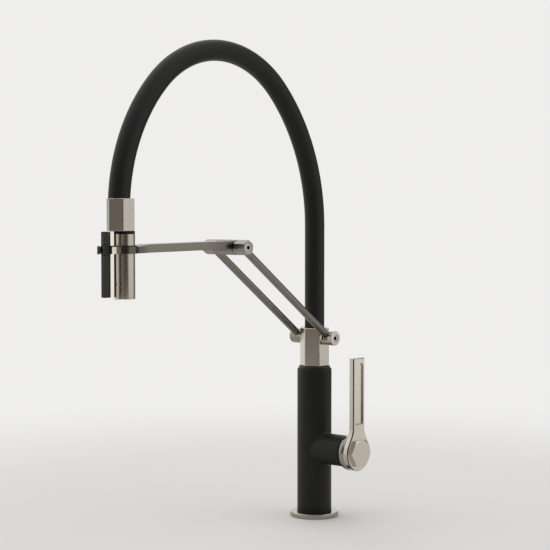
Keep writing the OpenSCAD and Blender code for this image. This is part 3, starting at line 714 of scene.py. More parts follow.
# %% Barrels
barrel_low, barrel_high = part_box("shoulder_barrel_right")
BARREL_RADIUS = (barrel_high.y - barrel_low.y) / 2
rod_low, rod_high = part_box("link_rod_right")
rod_x = (rod_low.x + rod_high.x) / 2
SCREW_RADIUS, SCREW_DEPTH, SCREW_GAP = 4.7 * MM, 3.2 * MM, 0.15 * MM
SLOT_WIDTH, SLOT_FLOOR = 9.6 * MM, 8 * MM
LUG_RADIUS = 3.5 * MM
rod_tilt = atan2(rod_way.z, -rod_way.y)


def slot_wedge():
    """The mouth of the slot, in (Y, Z) round the pivot: from under the lowest rod to upright."""
    half, far = 5 * MM, 24 * MM
    low, high = rod_tilt - radians(18), radians(110)         # a little past the joint's limits

    def along(a, length, side):
        return (-length * cos(a) + side * sin(a), length * sin(a) + side * cos(a))

    return [along(low, 0, -half), along(low, far, -half), along((low + high) / 2, 2 * far, 0),
            along(high, far, half), along(high, 0, half)]


def screw_recess(outer):
    """The cutter for the round recess that a screw head stands in, in a face at outer."""
    return disc(SCREW_RADIUS + SCREW_GAP, outer - SCREW_DEPTH, outer + MM, steps=48)


def shoulder_barrel(side, name, finish, node):
    """One barrel; side is 1 on the right and -1 on the left."""
    place = Matrix.Scale(side, 4, RIGHT) @ on_x_axis((0, 0, shoulder.z))
    slot = [rod_x - SLOT_WIDTH / 2, rod_x + SLOT_WIDTH / 2]
    barrel = piece(name, disc(BARREL_RADIUS, barrel_low.x, barrel_high.x,
                              0.2 * MM, 0.7 * MM), place)
    lug_top = barrel_high.z - shoulder.z - LUG_RADIUS
    lug = [(-LUG_RADIUS, 0), (LUG_RADIUS, 0)] + arc((0, lug_top), LUG_RADIUS, 0, pi, 16)
    join(barrel, tool(extruded(lug, barrel_low.x, slot[0] + MM), place))
    cut(barrel, tool(disc(SLOT_FLOOR, *slot), place), tool(extruded(slot_wedge(), *slot), place),
        tool(screw_recess(barrel_high.x), place))
    break_edges(barrel, 0.25 * MM, 2, 40)
    settle(barrel)
    dress(barrel, "column", finish, node)
    # Painted light: the barrel's outer face gets the lighter nickel of the screw heads.
    repaint(barrel, nickel_screw_painted_light, lambda c, n: n.x * side > 0.95 and c.x * side > rod_high.x)
    tell(barrel)


# Both barrels are darker copies of the nickel, as painted shade, the rear one darker still.
shoulder_barrel(1, "barrel_right", nickel_barrel_painted_shade, "shoulder_barrel_right")
shoulder_barrel(-1, "barrel_left", nickel_rear_barrel_painted_shade, "shoulder_barrel_left")

# %% [markdown]
# ## Socket screws
# The pivots are closed by flush screws with a hexagon socket. The dark ring round the head and
# the dark socket are most of what the eye sees, so the head is turned with a rounded rim, stands
# in a slightly wider recess, and is pierced by a real hexagon. The walls and floor of the socket
# are also painted near black, as painted shade, and the head is a slightly lighter nickel, as
# painted light.

# %% Screws
SOCKET_FLATS, SOCKET_DEPTH, SOCKET_RIM = 4.9 * MM, 2.6 * MM, 0.45 * MM
HEAD_SUNK = 0.15 * MM                        # the head lies this far below the face


def socket_screw(name, at, side, body, node):
    """A screw head at a point of the pivot axis, its face outwards on the side."""
    place = Matrix.Scale(side, 4, RIGHT) @ on_x_axis(at)
    head = piece(name, disc(SCREW_RADIUS, -SCREW_DEPTH, -HEAD_SUNK, 0, 0.5 * MM, 64), place)
    cut(head, tool(extruded(hexagon(SOCKET_FLATS / cos(pi / 6)), -SOCKET_DEPTH, MM), place))
    break_edges(head, 0.15 * MM, 2, 50)
    settle(head)
    # The screw head is a lighter nickel, as painted light.
    dress(head, body, nickel_screw_painted_light, node)
    middle = place.translation

    def in_shaded_socket(c, n):
        return (hypot(c.y - middle.y, c.z - middle.z) < SOCKET_FLATS * 0.6
                and abs(c.x - middle.x) > SOCKET_RIM)

    # Painted shade: the walls and floor of the socket get a near black finish.
    repaint(head, oxide_and_socket_shade, in_shaded_socket)
    tell(head)


shoulder_face = Vector((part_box("shoulder_screws")[1].x, 0, shoulder.z))
elbow_face = Vector((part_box("elbow_screws")[1].x, elbow.y, elbow.z))
for side, name in ((1, "right"), (-1, "left")):
    socket_screw("shoulder_screw_" + name, shoulder_face, side, "column", "shoulder_screws")
    socket_screw("elbow_screw_" + name, elbow_face, side, "links", "elbow_screws")

# %% [markdown]
# ## Link rods
# Each rod is a round bar with a flat eye at the shoulder, and its upper end is fixed in the
# elbow. The bar is turned along the line between the two axes and joined to the eye.

# %% Rods
ROD_RADIUS = 4.5 * MM
ROD_SHORT = 3.4 * MM                         # the rod ends this far before the elbow's axis
EYE_RADIUS, EYE_WIDTH = 7.6 * MM, 9.2 * MM
WASHER_RADIUS, WASHER_SEAT, WASHER_END = 5.8 * MM, 4 * MM, 5 * MM


def link_rod(side, name, node):
    """One rod with its eye; side is 1 on the right and -1 on the left."""
    flip = Matrix.Scale(side, 4, RIGHT)
    foot = Vector((rod_x, shoulder.y, shoulder.z))
    bar = piece(name, disc(ROD_RADIUS, 0, rod_line.length - ROD_SHORT, steps=48),
                flip @ stand(foot, rod_way))
    at = flip @ on_x_axis((0, 0, shoulder.z))
    join(bar, tool(disc(EYE_RADIUS, rod_x - EYE_WIDTH / 2, rod_x + EYE_WIDTH / 2,
                        0.3 * MM, 0.3 * MM), at))
    for low, high in ((-WASHER_END, -WASHER_SEAT), (WASHER_SEAT, WASHER_END)):
        cut(bar, tool(disc(WASHER_RADIUS, rod_x + low, rod_x + high), at))
    break_edges(bar, 0.3 * MM, 2, 50)
    # The rods' finish is a darker nickel, as painted shade.
    dress(bar, "links", nickel_rod_painted_shade, node)
    tell(bar)


link_rod(1, "rod_right", "link_rod_right")
link_rod(-1, "rod_left", "link_rod_left")

# %% [markdown]
# ## Elbow
# The elbow is a hexagon bar in three lengths on one pin: the two outer lengths are fixed to the
# rods, and the middle one is the root of the arm. A thin dark washer shows between them.

# %% Elbow barrels
elbow_low, elbow_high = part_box("elbow_barrel_right")
ELBOW_CORNERS = elbow_high.z - elbow_low.z
FACE_RADIUS, FACE_SLOPE = ELBOW_CORNERS / 2 - 1.4 * MM, 0.6


def elbow_barrel(side, name, node):
    """One outer length; the cone that it shares with the bar turns down its outer corners."""
    place = Matrix.Scale(side, 4, RIGHT) @ on_x_axis((0, elbow.y, elbow.z))
    barrel = piece(name, extruded(hexagon(ELBOW_CORNERS, pi / 2), elbow_low.x, elbow_high.x), place)
    slope_start = elbow_high.x - FACE_SLOPE * (ELBOW_CORNERS - FACE_RADIUS)
    common(barrel, tool(turned([(0, elbow_low.x - MM), (ELBOW_CORNERS, elbow_low.x - MM),
                                (ELBOW_CORNERS, slope_start),
                                (FACE_RADIUS, elbow_high.x), (0, elbow_high.x)]), place))
    break_edges(barrel, 0.55 * MM, 3)
    settle(barrel)
    cut(barrel, tool(screw_recess(elbow_high.x), place))
    break_edges(barrel, 0.2 * MM, 2, 50)
    settle(barrel)
    dress(barrel, "links", nickel_elbow_painted_shade, node)
    # Painted light: the faces that look outwards along the pin get the lighter nickel.
    repaint(barrel, nickel_end_painted_light, lambda c, n: n.x * side > 0.95)
    tell(barrel)


elbow_barrel(1, "elbow_right", "elbow_barrel_right")
elbow_barrel(-1, "elbow_left", "elbow_barrel_left")

# %% [markdown]
# ## Support arm and dock ring
# The arm is one forging: a hexagon root, a flat bar that narrows and dips as it runs forwards,
# and an open ring that takes the wand, with two straight ears on either side of the wand's rib.
# The bar is a loft: a rounded rectangle is set at stations along the arm, and each station has
# its own width, height and middle. It widens softly into the ring, as a forging does.

# %% The room for the wand
arm_low, arm_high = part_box("support_arm")
wand_low, wand_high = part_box("wand_tube")
liner_low, liner_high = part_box("dock_liner")
rib_low, rib_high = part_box("spine_plate")
wand_at = Vector((0, (wand_low.y + wand_high.y) / 2, 0))
wand_radius = (wand_high.x - wand_low.x) / 2
RING_WALL, LINER, PLAY, LIP = 1.8 * MM, 0.9 * MM, 0.35 * MM, 1.2 * MM
ring_low, ring_high = liner_low.z, liner_high.z - LIP
RING_GAP = 3.4 * MM                          # half the opening at the front of the ring
FAR = 20 * MM                                # a cutter reaches this far past what it cuts


def dock_outline(margin, blend=0.0, steps=40):
    """The room for the wand: round its tube and square round its rib, grown by a margin."""
    half, radius = rib_high.x + margin, wand_radius + margin
    front = rib_low.y - margin
    swell = blend + margin * 0.5
    side = sqrt((radius + swell) ** 2 - (half + swell) ** 2)
    bend = Vector((half + swell, wand_at.y - side))          # middle of the hollow corner
    foot = atan2(wand_at.y - bend.y, -bend.x)                # from there back to the tube
    hollow = arc(bend, swell, pi, foot, 6)
    out = atan2(bend.y - wand_at.y, bend.x)
    ring = arc(wand_at.xy, radius, out, pi - out, steps)
    corner = min(1.1 * MM, 0.4 * half)
    nose = rounded([(-half, hollow[0][1], 0), (-half, front, corner), (half, front, corner),
                    (half, hollow[0][1], 0)])[1:-1]
    return ring + [(-x, y) for x, y in reversed(hollow)][1:] + nose + hollow[:-1]


def gap_tools():
    """Cutters for the open front of the ring and for the front ends of its ears."""
    front, low, high = rib_low.y - FAR, ring_low - 6 * MM, ring_high + 6 * MM
    return (tool(block((-RING_GAP, front, low), (RING_GAP, wand_at.y, high))),
            tool(block((-FAR, front, low), (FAR, arm_low.y, high))))


print("dock:", round(2 * (wand_radius + PLAY) / MM, 1), "mm bore, opening",
      round(2 * RING_GAP / MM, 1), "mm")

# %% [markdown]
# ## The arm's sections
# `bar_ring` gives one section of the bar. `ease` goes from 0 to 1 without a corner, so each
# change along the arm fades in and out.

# %% The arm's sections


def bar_ring(y, half_width, middle, half_height, edge=0.9 * MM):
    """A rounded rectangle across the arm."""
    section = block_outline(-half_width, middle - half_height, half_width, middle + half_height)
    return [(x, y, z) for x, z in rounded([(*corner, edge) for corner in section], 4)]


def ease(t):
    """From 0 to 1, level at both ends."""
    t = min(1.0, max(0.0, t))
    return t * t * (3 - 2 * t)


ring_middle, ring_half = (ring_low + ring_high) / 2, (ring_high - ring_low) / 2
ring_back = wand_at.y + wand_radius + PLAY + LINER + RING_WALL
bar_end = ring_back - 7 * MM
ring_radius = ring_back - wand_at.y
ELBOW_HALF, RING_HALF = 10.6 * MM, 9.0 * MM                  # half width of the bar at its two ends
RISE, DIP, THICKEN = 3.1 * MM, 2.0 * MM, 0.85 * MM           # of the bar, against the ring
TOUCH, FLARE = radians(42), 14 * MM                          # the bar leaves the ring on a tangent
touch_x, touch_y = ring_radius * sin(TOUCH), wand_at.y + ring_radius * cos(TOUCH)
touch_slope = 1 / tan(TOUCH) * 0.8
print("ring:", round(2 * ring_radius / MM, 1), "mm across, flare", FLARE / MM, "mm long")

# %% The arm
stations = []
for i in range(61):
    y = elbow.y + (bar_end - elbow.y) * i / 60
    run = (elbow.y - y) / (elbow.y - ring_back)              # 0 at the elbow, 1 at the ring
    narrow = ease((elbow.y - 7 * MM - y) / (30 * MM))
    rise = ease((y - ring_back) / (15 * MM))
    bar = (arm_high.x * (1 - narrow)
           + (ELBOW_HALF + (RING_HALF - ELBOW_HALF) * min(run, 1.0)) * narrow)
    t = min(1.0, max(0.0, (y - touch_y) / FLARE))            # 0 where the bar leaves the ring
    half = (touch_x * (1 - t) ** 2 * (1 + 2 * t) - touch_slope * FLARE * t * (1 - t) ** 2
            + bar * t * t * (3 - 2 * t))
    middle = ring_middle + (RISE - DIP * run) * rise
    stations.append(bar_ring(y, half, middle, ring_half + THICKEN * rise))
arm = piece("arm", skin(stations))
join(arm, tool(extruded(hexagon(ELBOW_CORNERS, pi / 2), -arm_high.x, arm_high.x),
               on_x_axis((0, elbow.y, elbow.z))),
     tool(extruded(dock_outline(PLAY + LINER + RING_WALL, 1.2 * MM), ring_low, ring_high)))
cut(arm, tool(extruded(dock_outline(PLAY + LINER), ring_low - 5 * MM, ring_high + 5 * MM)),
    *gap_tools())
break_edges(arm, 0.4 * MM, 2, 35)
# The arm's finish paints shade along the bar and light on the ears.
dress(arm, "arm", nickel_arm_painted_light_and_shade, "support_arm")
tell(arm)

# %% [markdown]
# ## Liner of the ring
# A thin plastic liner keeps the wand from scratching, and its lip lies on top of the ring. The
# same outline that shaped the ring shapes the liner, with smaller margins.

# %% Liner of the ring
liner = piece("liner", extruded(dock_outline(PLAY + LINER), ring_low, ring_high + LIP / 2))
lip = tool(extruded(dock_outline(PLAY + LINER + RING_WALL - 0.3 * MM, 1.2 * MM),
                    ring_high, ring_high + LIP))
lip_back, WIDE = wand_at.y + wand_radius * 0.6, 30 * MM      # behind here the arm is bare
cut(lip, tool(block((-WIDE, lip_back, ring_low), (WIDE, elbow.y, ring_high + 5 * MM))))
join(liner, lip)
cut(liner, tool(extruded(dock_outline(PLAY), ring_low - MM, ring_high + 5 * MM)), *gap_tools())
break_edges(liner, 0.15 * MM, 2, 40)
dress(liner, "arm", satin_plastic, "dock_liner")
tell(liner)

# %% [markdown]
# ## Spray wand
# The wand is a turned tube with a flat keel along its front. The rim at its lower end stands
# proud of the spray face, so that the soft nozzles never touch the sink.

# %% Wand tube
SPRAY_RADIUS, SPRAY_DEPTH = wand_radius - 1.5 * MM, 7 * MM
tube = piece("wand", turned(rounded([
    (0, wand_low.z + SPRAY_DEPTH, 0), (SPRAY_RADIUS, wand_low.z + SPRAY_DEPTH, 0),
    (SPRAY_RADIUS, wand_low.z, 0.5 * MM), (wand_radius, wand_low.z, 0.6 * MM),
    (wand_radius, wand_high.z, 0.4 * MM), (0, wand_high.z, 0)])), stand(wand_at))
KEEL_HALF, KEEL_DEPTH = 1.6 * MM, 4.6 * MM
keel_front = wand_at.y - wand_radius - KEEL_DEPTH
join(tube, tool(block((-KEEL_HALF, keel_front, wand_low.z),
                      (KEEL_HALF, wand_at.y - wand_radius * 0.95, wand_high.z))))
break_edges(tube, 0.2 * MM, 2, 50)
dress(tube, "wand", nickel_turned, "wand_tube")
tell(tube)

# %% [markdown]
# ## Spray face
# The face is one rubber moulding: a raised ring round the central jet, and a circle of soft
# nozzles that can be rubbed clean. The plate is turned, and each nozzle is a small turned
# cone, joined to it.

# %% Spray face
NOZZLES, NOZZLE_CIRCLE = 12, 0.72 * SPRAY_RADIUS
face_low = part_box("spray_face")[0].z
plate = [(0, 1.8 * MM, 0), (0.22 * SPRAY_RADIUS, 1.8 * MM, 0),
         (0.26 * SPRAY_RADIUS, -0.2 * MM, 0.2 * MM), (0.36 * SPRAY_RADIUS, -0.2 * MM, 0.2 * MM),
         (0.42 * SPRAY_RADIUS, 1.2 * MM, 0.3 * MM), (0.97 * SPRAY_RADIUS, 0.6 * MM, 0.3 * MM),
         (0.97 * SPRAY_RADIUS, 5 * MM, 0), (0, 5 * MM, 0)]
spray = piece("spray_face_plate", turned(rounded(plate)), stand(wand_at + UP * face_low))
nozzle = [(0, 1.5 * MM), (1.2 * MM, 1.5 * MM), (1.1 * MM, 0.2 * MM), (0.8 * MM, -0.8 * MM),
          (0.45 * MM, -0.9 * MM), (0.4 * MM, -0.2 * MM), (0, -0.2 * MM)]
for i in range(NOZZLES):
    a = 2 * pi * i / NOZZLES
    at = wand_at + UP * (face_low + 0.9 * MM) + Vector((cos(a), sin(a), 0)) * NOZZLE_CIRCLE
    join(spray, tool(turned(nozzle, steps=20), stand(at)))
dress(spray, "wand", seal_black, "spray_face")
tell(spray)

# %% [markdown]
# ## Rib
# An upright rib runs in front of the keel, past a dark groove, and carries the paddle. It is
# polished rather than brushed, and its colour is also lightened well past the other nickel as a
# painted highlight. A round notch in it takes the paddle's hub.

# %% Rib
bracket_low, bracket_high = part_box("paddle_bracket")
HUB_RADIUS = paddle_hub.y - bracket_low.y
hub_place = on_x_axis((0, paddle_hub.y, paddle_hub.z))
rib = piece("rib", block(rib_low, rib_high))
cut(rib, tool(disc(HUB_RADIUS + 0.2 * MM, -FAR, FAR, steps=64), hub_place))
break_edges(rib, 0.25 * MM, 2)
dress(rib, "wand", nickel_rib_painted_highlight, "spine_plate")
tell(rib)

# %% [markdown]
# ## Bracket and pin
# The paddle rocks on a pin between two round ears. They belong to a black bracket: a core behind
# the rib, a thin web back to the keel, and a small boss round the switch's pusher. The ears are
# turned discs whose faces are slightly dished, so that each shows a soft ring of light.

# %% Bracket
EAR_IN, EAR_OUT, EAR_HALF = 1.6 * MM, bracket_high.x, HUB_RADIUS * 0.64
RIB_WALL, EAR_ROOT = 2.6 * MM, 2 * MM
rib_back = rib_low.y + RIB_WALL
WEB_HALF, CORE_HALF = 1 * MM, 1.4 * MM
PUSHER_BOSS, pusher_z = 2.4 * MM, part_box("diverter_pusher")[0].z + 3 * MM
bracket = piece("bracket", block((-WEB_HALF, rib_high.y, rib_low.z),
                                 (WEB_HALF, keel_front, wand_high.z)))
join(bracket, tool(disc(PUSHER_BOSS, 0, keel_front - rib_high.y, steps=32),
                   stand((0, rib_high.y, pusher_z), BACK)))
join(bracket, tool(block((-EAR_OUT, rib_back, paddle_hub.z - EAR_HALF),
                         (EAR_OUT, rib_back + EAR_ROOT, paddle_hub.z + EAR_HALF))),
     tool(block((-CORE_HALF, rib_back, paddle_hub.z - HUB_RADIUS),
                (CORE_HALF, rib_high.y + 0.2 * MM, paddle_hub.z + HUB_RADIUS))))
ear = rounded([(0, EAR_IN, 0), (HUB_RADIUS, EAR_IN, 0.1 * MM), (HUB_RADIUS, EAR_OUT, 0.5 * MM),
               (HUB_RADIUS * 0.74, EAR_OUT, 0.3 * MM),
               (HUB_RADIUS * 0.6, EAR_OUT - 0.5 * MM, 0.3 * MM), (0, EAR_OUT - 0.25 * MM, 0)])
for side in (1, -1):
    flip = Matrix.Scale(side, 4, RIGHT)
    join(bracket, tool(turned(ear, steps=64), flip @ hub_place),
         tool(block((EAR_IN, paddle_hub.y, paddle_hub.z - EAR_HALF),
                    (EAR_OUT - 0.02 * MM, rib_back + MM, paddle_hub.z + EAR_HALF)), flip))
break_edges(bracket, 0.15 * MM, 2, 40)
dress(bracket, "wand", satin_plastic, "paddle_bracket")

PIN_RADIUS, PIN_END = 1.25 * MM, EAR_OUT - 0.6 * MM
pin = piece("pin", disc(PIN_RADIUS, -PIN_END, PIN_END, steps=24), hub_place)
dress(pin, "wand", oxide_and_socket_shade, "paddle_pin")
tell(bracket, pin)

# %% [markdown]
# ## Paddle
# The paddle is the spray switch: a black fin that rocks a few degrees on its pin, with a small
# thumb tab in front. The fin is a long rounded bar with a round seat for each ear, and the neck
# and the tab are joined to it.

# %% Paddle
paddle_low, paddle_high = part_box("spray_paddle")
FIN_HALF, FIN_LEAN, NECK_HALF = 2.2 * MM, 1.3 * MM, 0.7 * MM
THUMB, THUMB_OUT = 1.5 * MM, 4.6 * MM
THUMB_HALF, THUMB_TALL, THUMB_ROUND = 1.5 * MM, 4.5 * MM, 1.2 * MM
fin_front, fin_back = paddle_low.y + THUMB + THUMB_OUT, rib_low.y - 0.4 * MM
fin_outline = rounded([(fin_front, paddle_low.z, 1.0 * MM), (fin_back, paddle_low.z, 0.3 * MM),
                       (fin_back, paddle_hub.z + HUB_RADIUS, 0),
                       (fin_back - FIN_LEAN, paddle_high.z, 0.3 * MM),
                       (fin_front, paddle_high.z, 0.8 * MM)])
paddle = piece("paddle", extruded(fin_outline, -FIN_HALF, FIN_HALF), on_x_axis())
for side in (1, -1):
    cut(paddle, tool(disc(HUB_RADIUS + 0.35 * MM, EAR_IN - 0.1 * MM, 4 * MM),
                     Matrix.Scale(side, 4, RIGHT) @ hub_place))
tab = block_outline(-THUMB_HALF, -THUMB_TALL, THUMB_HALF, THUMB_TALL)
join(paddle, tool(block((-NECK_HALF, paddle_low.y + MM, paddle_hub.z - MM),
                        (NECK_HALF, fin_front + MM, paddle_hub.z + MM))),
     tool(extruded(rounded([(*corner, THUMB_ROUND) for corner in tab]), 0, THUMB),
          stand((0, paddle_low.y + THUMB, paddle_hub.z), -BACK, RIGHT)))
break_edges(paddle, 0.3 * MM, 2, 40)
dress(paddle, "paddle", satin_plastic, "spray_paddle")
tell(paddle)

# %% [markdown]
# ## Swivel seal and hose nut
# A black seal shows as a thin dark line between the wand and the nut. The nut is hexagon bar
# again, brushed across, with its corners and both ends broken.

# %% Seal and nut
seal_low, seal_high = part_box("swivel_seal")
seal = piece("seal", disc(wand_radius - 0.2 * MM, seal_low.z, seal_high.z, 0.2 * MM, 0.2 * MM),
             stand(wand_at))
join(seal, tool(block((-KEEL_HALF, rib_high.y, seal_low.z),
                      (KEEL_HALF, wand_at.y, seal_high.z - 0.1 * MM))))
dress(seal, "wand", seal_black, "swivel_seal")

nut_low, nut_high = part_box("hose_nut")
nut_at = Vector((0, (nut_low.y + nut_high.y) / 2, 0))
nut = piece("nut", extruded(hexagon((nut_high.x - nut_low.x) / cos(pi / 6), pi / 2),
                            nut_low.z, nut_high.z), stand(nut_at))
break_edges(nut, 0.8 * MM, 3)
settle(nut)
# The nut's finish paints shade on its front left flat.
dress(nut, "wand", nickel_nut_painted_shade, "hose_nut")
tell(seal, nut)

# %% [markdown]
# ## Spout hose
# The spout is a water hose inside a close-wound spring, which holds the arch up, inside a smooth
# silicone sleeve. Its line is a straight riser and three arcs that meet tangentially, and the
# last radius follows from where the nut is. A joint may bend a piece only once. Each layer is
# made in three lengths that meet end to end: the riser, the back of the arch and the front of
# the arch.

# %% The line of the hose
BEND_BACK, BEND_TOP = 230 * MM, 137 * MM
TURN_BACK, TURN_TOP, TURN_END = radians(45), radians(135), radians(176.6)
HOSE_FORWARD = 1.8 * MM                      # the hose ends a little in front of the nut's axis
hose_end = Vector((0, nut_at.y - HOSE_FORWARD, nut_high.z))
bend_front = (-hose_end.y - BEND_BACK * (1 - cos(TURN_BACK))
              - BEND_TOP * (cos(TURN_BACK) - cos(TURN_TOP))) / (cos(TURN_TOP) - cos(TURN_END))
riser_top = (hose_end.z - BEND_BACK * sin(TURN_BACK)
             - bend_front * (sin(TURN_END) - sin(TURN_TOP)))


def arc_run(start, bend, turn_from, turn_to, steps):
    """Stations (point, turn) along one arc of the hose, without its first point."""
    centre = start + Vector((0, -bend * cos(turn_from), -bend * sin(turn_from)))
    turns = [turn_from + (turn_to - turn_from) * k / steps for k in range(1, steps + 1)]
    return [(centre + Vector((0, bend * cos(t), bend * sin(t))), t) for t in turns]


riser = [(Vector((0, 0, hose_low.z + (riser_top - hose_low.z) * k / 30)), 0.0) for k in range(31)]
back = [riser[-1]] + arc_run(riser[-1][0], BEND_BACK, 0, TURN_BACK, 40)
back += arc_run(back[-1][0], BEND_TOP, TURN_BACK, pi / 2, 24)
front = [back[-1]] + arc_run(back[-1][0], BEND_TOP, pi / 2, TURN_TOP, 24)
front += arc_run(front[-1][0], bend_front, TURN_TOP, TURN_END, 40)
front.append((hose_end + Vector((0, 0, -2 * MM)), TURN_END))
crown = back[-1][0]
hose_length = sum((b[0] - a[0]).length
                  for run in (riser, back, front) for a, b in zip(run, run[1:]))
print("hose:", round(hose_length, 3), "m long, crown at", round(crown.z / MM, 1), "mm")

# %% [markdown]
# ## The layers of the hose
# The sleeve, the spring and the water hose share the line and differ in radius. The rims of
# each length are marked sharp, so that its flat ends don't darken its sides.

# %% The layers of the hose
COLUMN_TOP = Vector((0, 0, column_high.z))


def hose_run(name, run, radius, steps=48):
    """A tube of one radius along a run of stations."""
    angles = [2 * pi * i / steps for i in range(steps)]
    rings = [[p + RIGHT * radius * cos(a) + Vector((0, cos(t), sin(t))) * radius * sin(a)
              for a in angles] for p, t in run]
    tube = piece(name, skin(rings))
    rims = {key for face in tube.data.polygons if len(face.vertices) > 4 for key in face.edge_keys}
    for edge in tube.data.edges:
        edge.use_edge_sharp = tuple(sorted(edge.vertices)) in rims
    return tube


LAYERS = (("sleeve", "hose_sleeve", sleeve_black), ("spring", "support_spring", plain_steel),
          ("inner_hose", "water_hose", hose_grey))
RUNS = (("riser", riser, "column", "links", COLUMN_TOP, riser[-1][0]),
        ("back", back, "links", "arm", riser[-1][0], crown),
        ("front", front, "arm", "wand", crown, hose_end))
for layer, node, finish in LAYERS:
    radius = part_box(node)[1].x
    for part, run, first, last, start, end in RUNS:
        length = hose_run(layer + "_" + part, run, radius)
        length.data.materials.append(finish)
        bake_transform(length)
        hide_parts(node)
        tell(length)

# %% [markdown]
# ## Lever
# The lever is a round head with a flat blade that rises from it through two hollow flares. Each
# flare is one Bezier curve that leaves the head on a tangent and ends upright. The outline is
# lofted once more, a little smaller, at the face: that makes a chamfer all round, and the
# narrow face at its front edge draws the dark line down the lever, which a darker finish deepens
# as painted shade.

# %% The outline of the lever
lever_low, lever_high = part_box("lever_handle")
HEAD_RADIUS = lever_high.y
PLATE_BACK = lever_high.x - 6.5 * MM
BLADE_HALF = 10.75 * MM
blade_top = lever_high.z - valve.z
FLARE_ANGLE, FLARE_TOP = radians(31), 30 * MM


def bezier(p0, p1, p2, p3, steps=14):
    """Points along a cubic curve."""
    points = []
    for k in range(steps + 1):
        t = k / steps
        s = 1 - t
        points.append(tuple(s ** 3 * a + 3 * s * s * t * b + 3 * s * t * t * c + t ** 3 * d
                            for a, b, c, d in zip(p0, p1, p2, p3)))
    return points


PULL_LOW, PULL_HIGH = 7 * MM, 6 * MM         # how far each end of the flare keeps its direction
meet = (HEAD_RADIUS * cos(FLARE_ANGLE), HEAD_RADIUS * sin(FLARE_ANGLE))
flare = bezier(meet, (meet[0] - PULL_LOW * sin(FLARE_ANGLE), meet[1] + PULL_LOW * cos(FLARE_ANGLE)),
               (BLADE_HALF, FLARE_TOP - PULL_HIGH), (BLADE_HALF, FLARE_TOP))
top = rounded([(BLADE_HALF, FLARE_TOP, 0), (BLADE_HALF, blade_top, 1.2 * MM),
               (-BLADE_HALF, blade_top, 1.2 * MM), (-BLADE_HALF, FLARE_TOP, 0)])[1:-1]
mirrored = [(-y, z) for y, z in reversed(flare)]
head_arc = arc((0, 0), HEAD_RADIUS, pi - FLARE_ANGLE, 2 * pi + FLARE_ANGLE, 64)[1:-1]
lever_outline = flare + top + mirrored + head_arc
print("lever:", len(lever_outline), "points,", round((blade_top + HEAD_RADIUS) / MM, 1), "mm tall")

# %% [markdown]
# ## Blade and recess
# The blade has a shallow recess with a scooped lower end. The recess is bare here: it is the
# place for a maker's engraving. Two tools cut it. Then every face that looks forwards gets a
# lighter nickel, as painted light, and the front chamfer a much darker one, as painted shade.

# %% The blade
lever_place = on_x_axis((0, 0, valve.z))
CHAMFER = 1.15 * MM


def inset(outline, amount):
    """An outline moved inwards; its corners run anticlockwise."""
    moved = []
    for i, (x, y) in enumerate(outline):
        before, after = outline[i - 1], outline[(i + 1) % len(outline)]
        along = Vector((after[0] - before[0], after[1] - before[1])).normalized()
        moved.append((x - along.y * amount, y + along.x * amount))
    return moved


layers = ((lever_outline, PLATE_BACK), (lever_outline, lever_high.x - CHAMFER),
          (inset(lever_outline, CHAMFER), lever_high.x))
lever = piece("lever", skin([[(x, y, z) for x, y in ring] for ring, z in layers]), lever_place)
tell(lever)

# %% The recess
RECESS_HALF, RECESS_DEPTH, RECESS_LOW, RECESS_RIM = 7.5 * MM, 1.9 * MM, 36.1 * MM, 6 * MM
RECESS_ROUND, SCOOP = 4.5 * MM, 1.6 * MM
recess = rounded([(-RECESS_HALF, RECESS_LOW, 0.5 * MM), (RECESS_HALF, RECESS_LOW, 0.5 * MM),
                  (RECESS_HALF, blade_top - RECESS_RIM, RECESS_ROUND),
                  (-RECESS_HALF, blade_top - RECESS_RIM, RECESS_ROUND)])
scoop = [(RECESS_LOW - SCOOP, MM), (RECESS_LOW - SCOOP, 0),
         (RECESS_LOW + 0.5 * MM, -RECESS_DEPTH), (RECESS_LOW + 0.5 * MM, MM)]
cut(lever, tool(extruded(recess, lever_high.x - RECESS_DEPTH, lever_high.x + MM), lever_place),
    tool(extruded([(z, x) for z, x in scoop], -RECESS_HALF, RECESS_HALF),
         Matrix(((0, 1, 0, lever_high.x), (0, 0, 1, 0), (1, 0, 0, valve.z), (0, 0, 0, 1)))))
break_edges(lever, 0.2 * MM, 2, 30)
settle(lever)
dress(lever, "lever", nickel_lever, "lever_handle")
# Painted light: every face of the lever that looks forwards gets a lighter nickel.
repaint(lever, nickel_face_painted_light, lambda c, n: n.x > 0.95)
# Painted shade: the front chamfer gets a much darker nickel, to deepen its dark line.
repaint(lever, nickel_chamfer_painted_shade,
        lambda c, n: 0.5 < n.x < 0.9 and n.y < -0.3 and abs(c.y) > RECESS_HALF + MM)
tell(lever)

# %% [markdown]
# ## Skirt
# Behind the blade a turned skirt covers the end of the boss and hides the cartridge. It is a
# plain ring with a rounded rear rim, turned round the valve's axis.

# %% Skirt
SKIRT_WALL = 2.4 * MM
skirt_section = rounded([(HEAD_RADIUS - SKIRT_WALL, lever_low.x, 0.3 * MM),
                         (HEAD_RADIUS, lever_low.x, 0.5 * MM), (HEAD_RADIUS, PLATE_BACK, 0),
                         (HEAD_RADIUS - SKIRT_WALL, PLATE_BACK, 0)])
skirt = piece("lever_skirt", turned(skirt_section, closed=True, steps=128), lever_place)
# The skirt's finish is a darker nickel, as painted shade.
dress(skirt, "lever", nickel_skirt_painted_shade)
tell(skirt)

# %% [markdown]
# ## Hexagon cap
# The cap that closes the head looks like a hexagon nut with a round face. A nut gets that shape
# when its corners are turned down, so the hexagon here is cut to what it has in common with a
# turned cone.

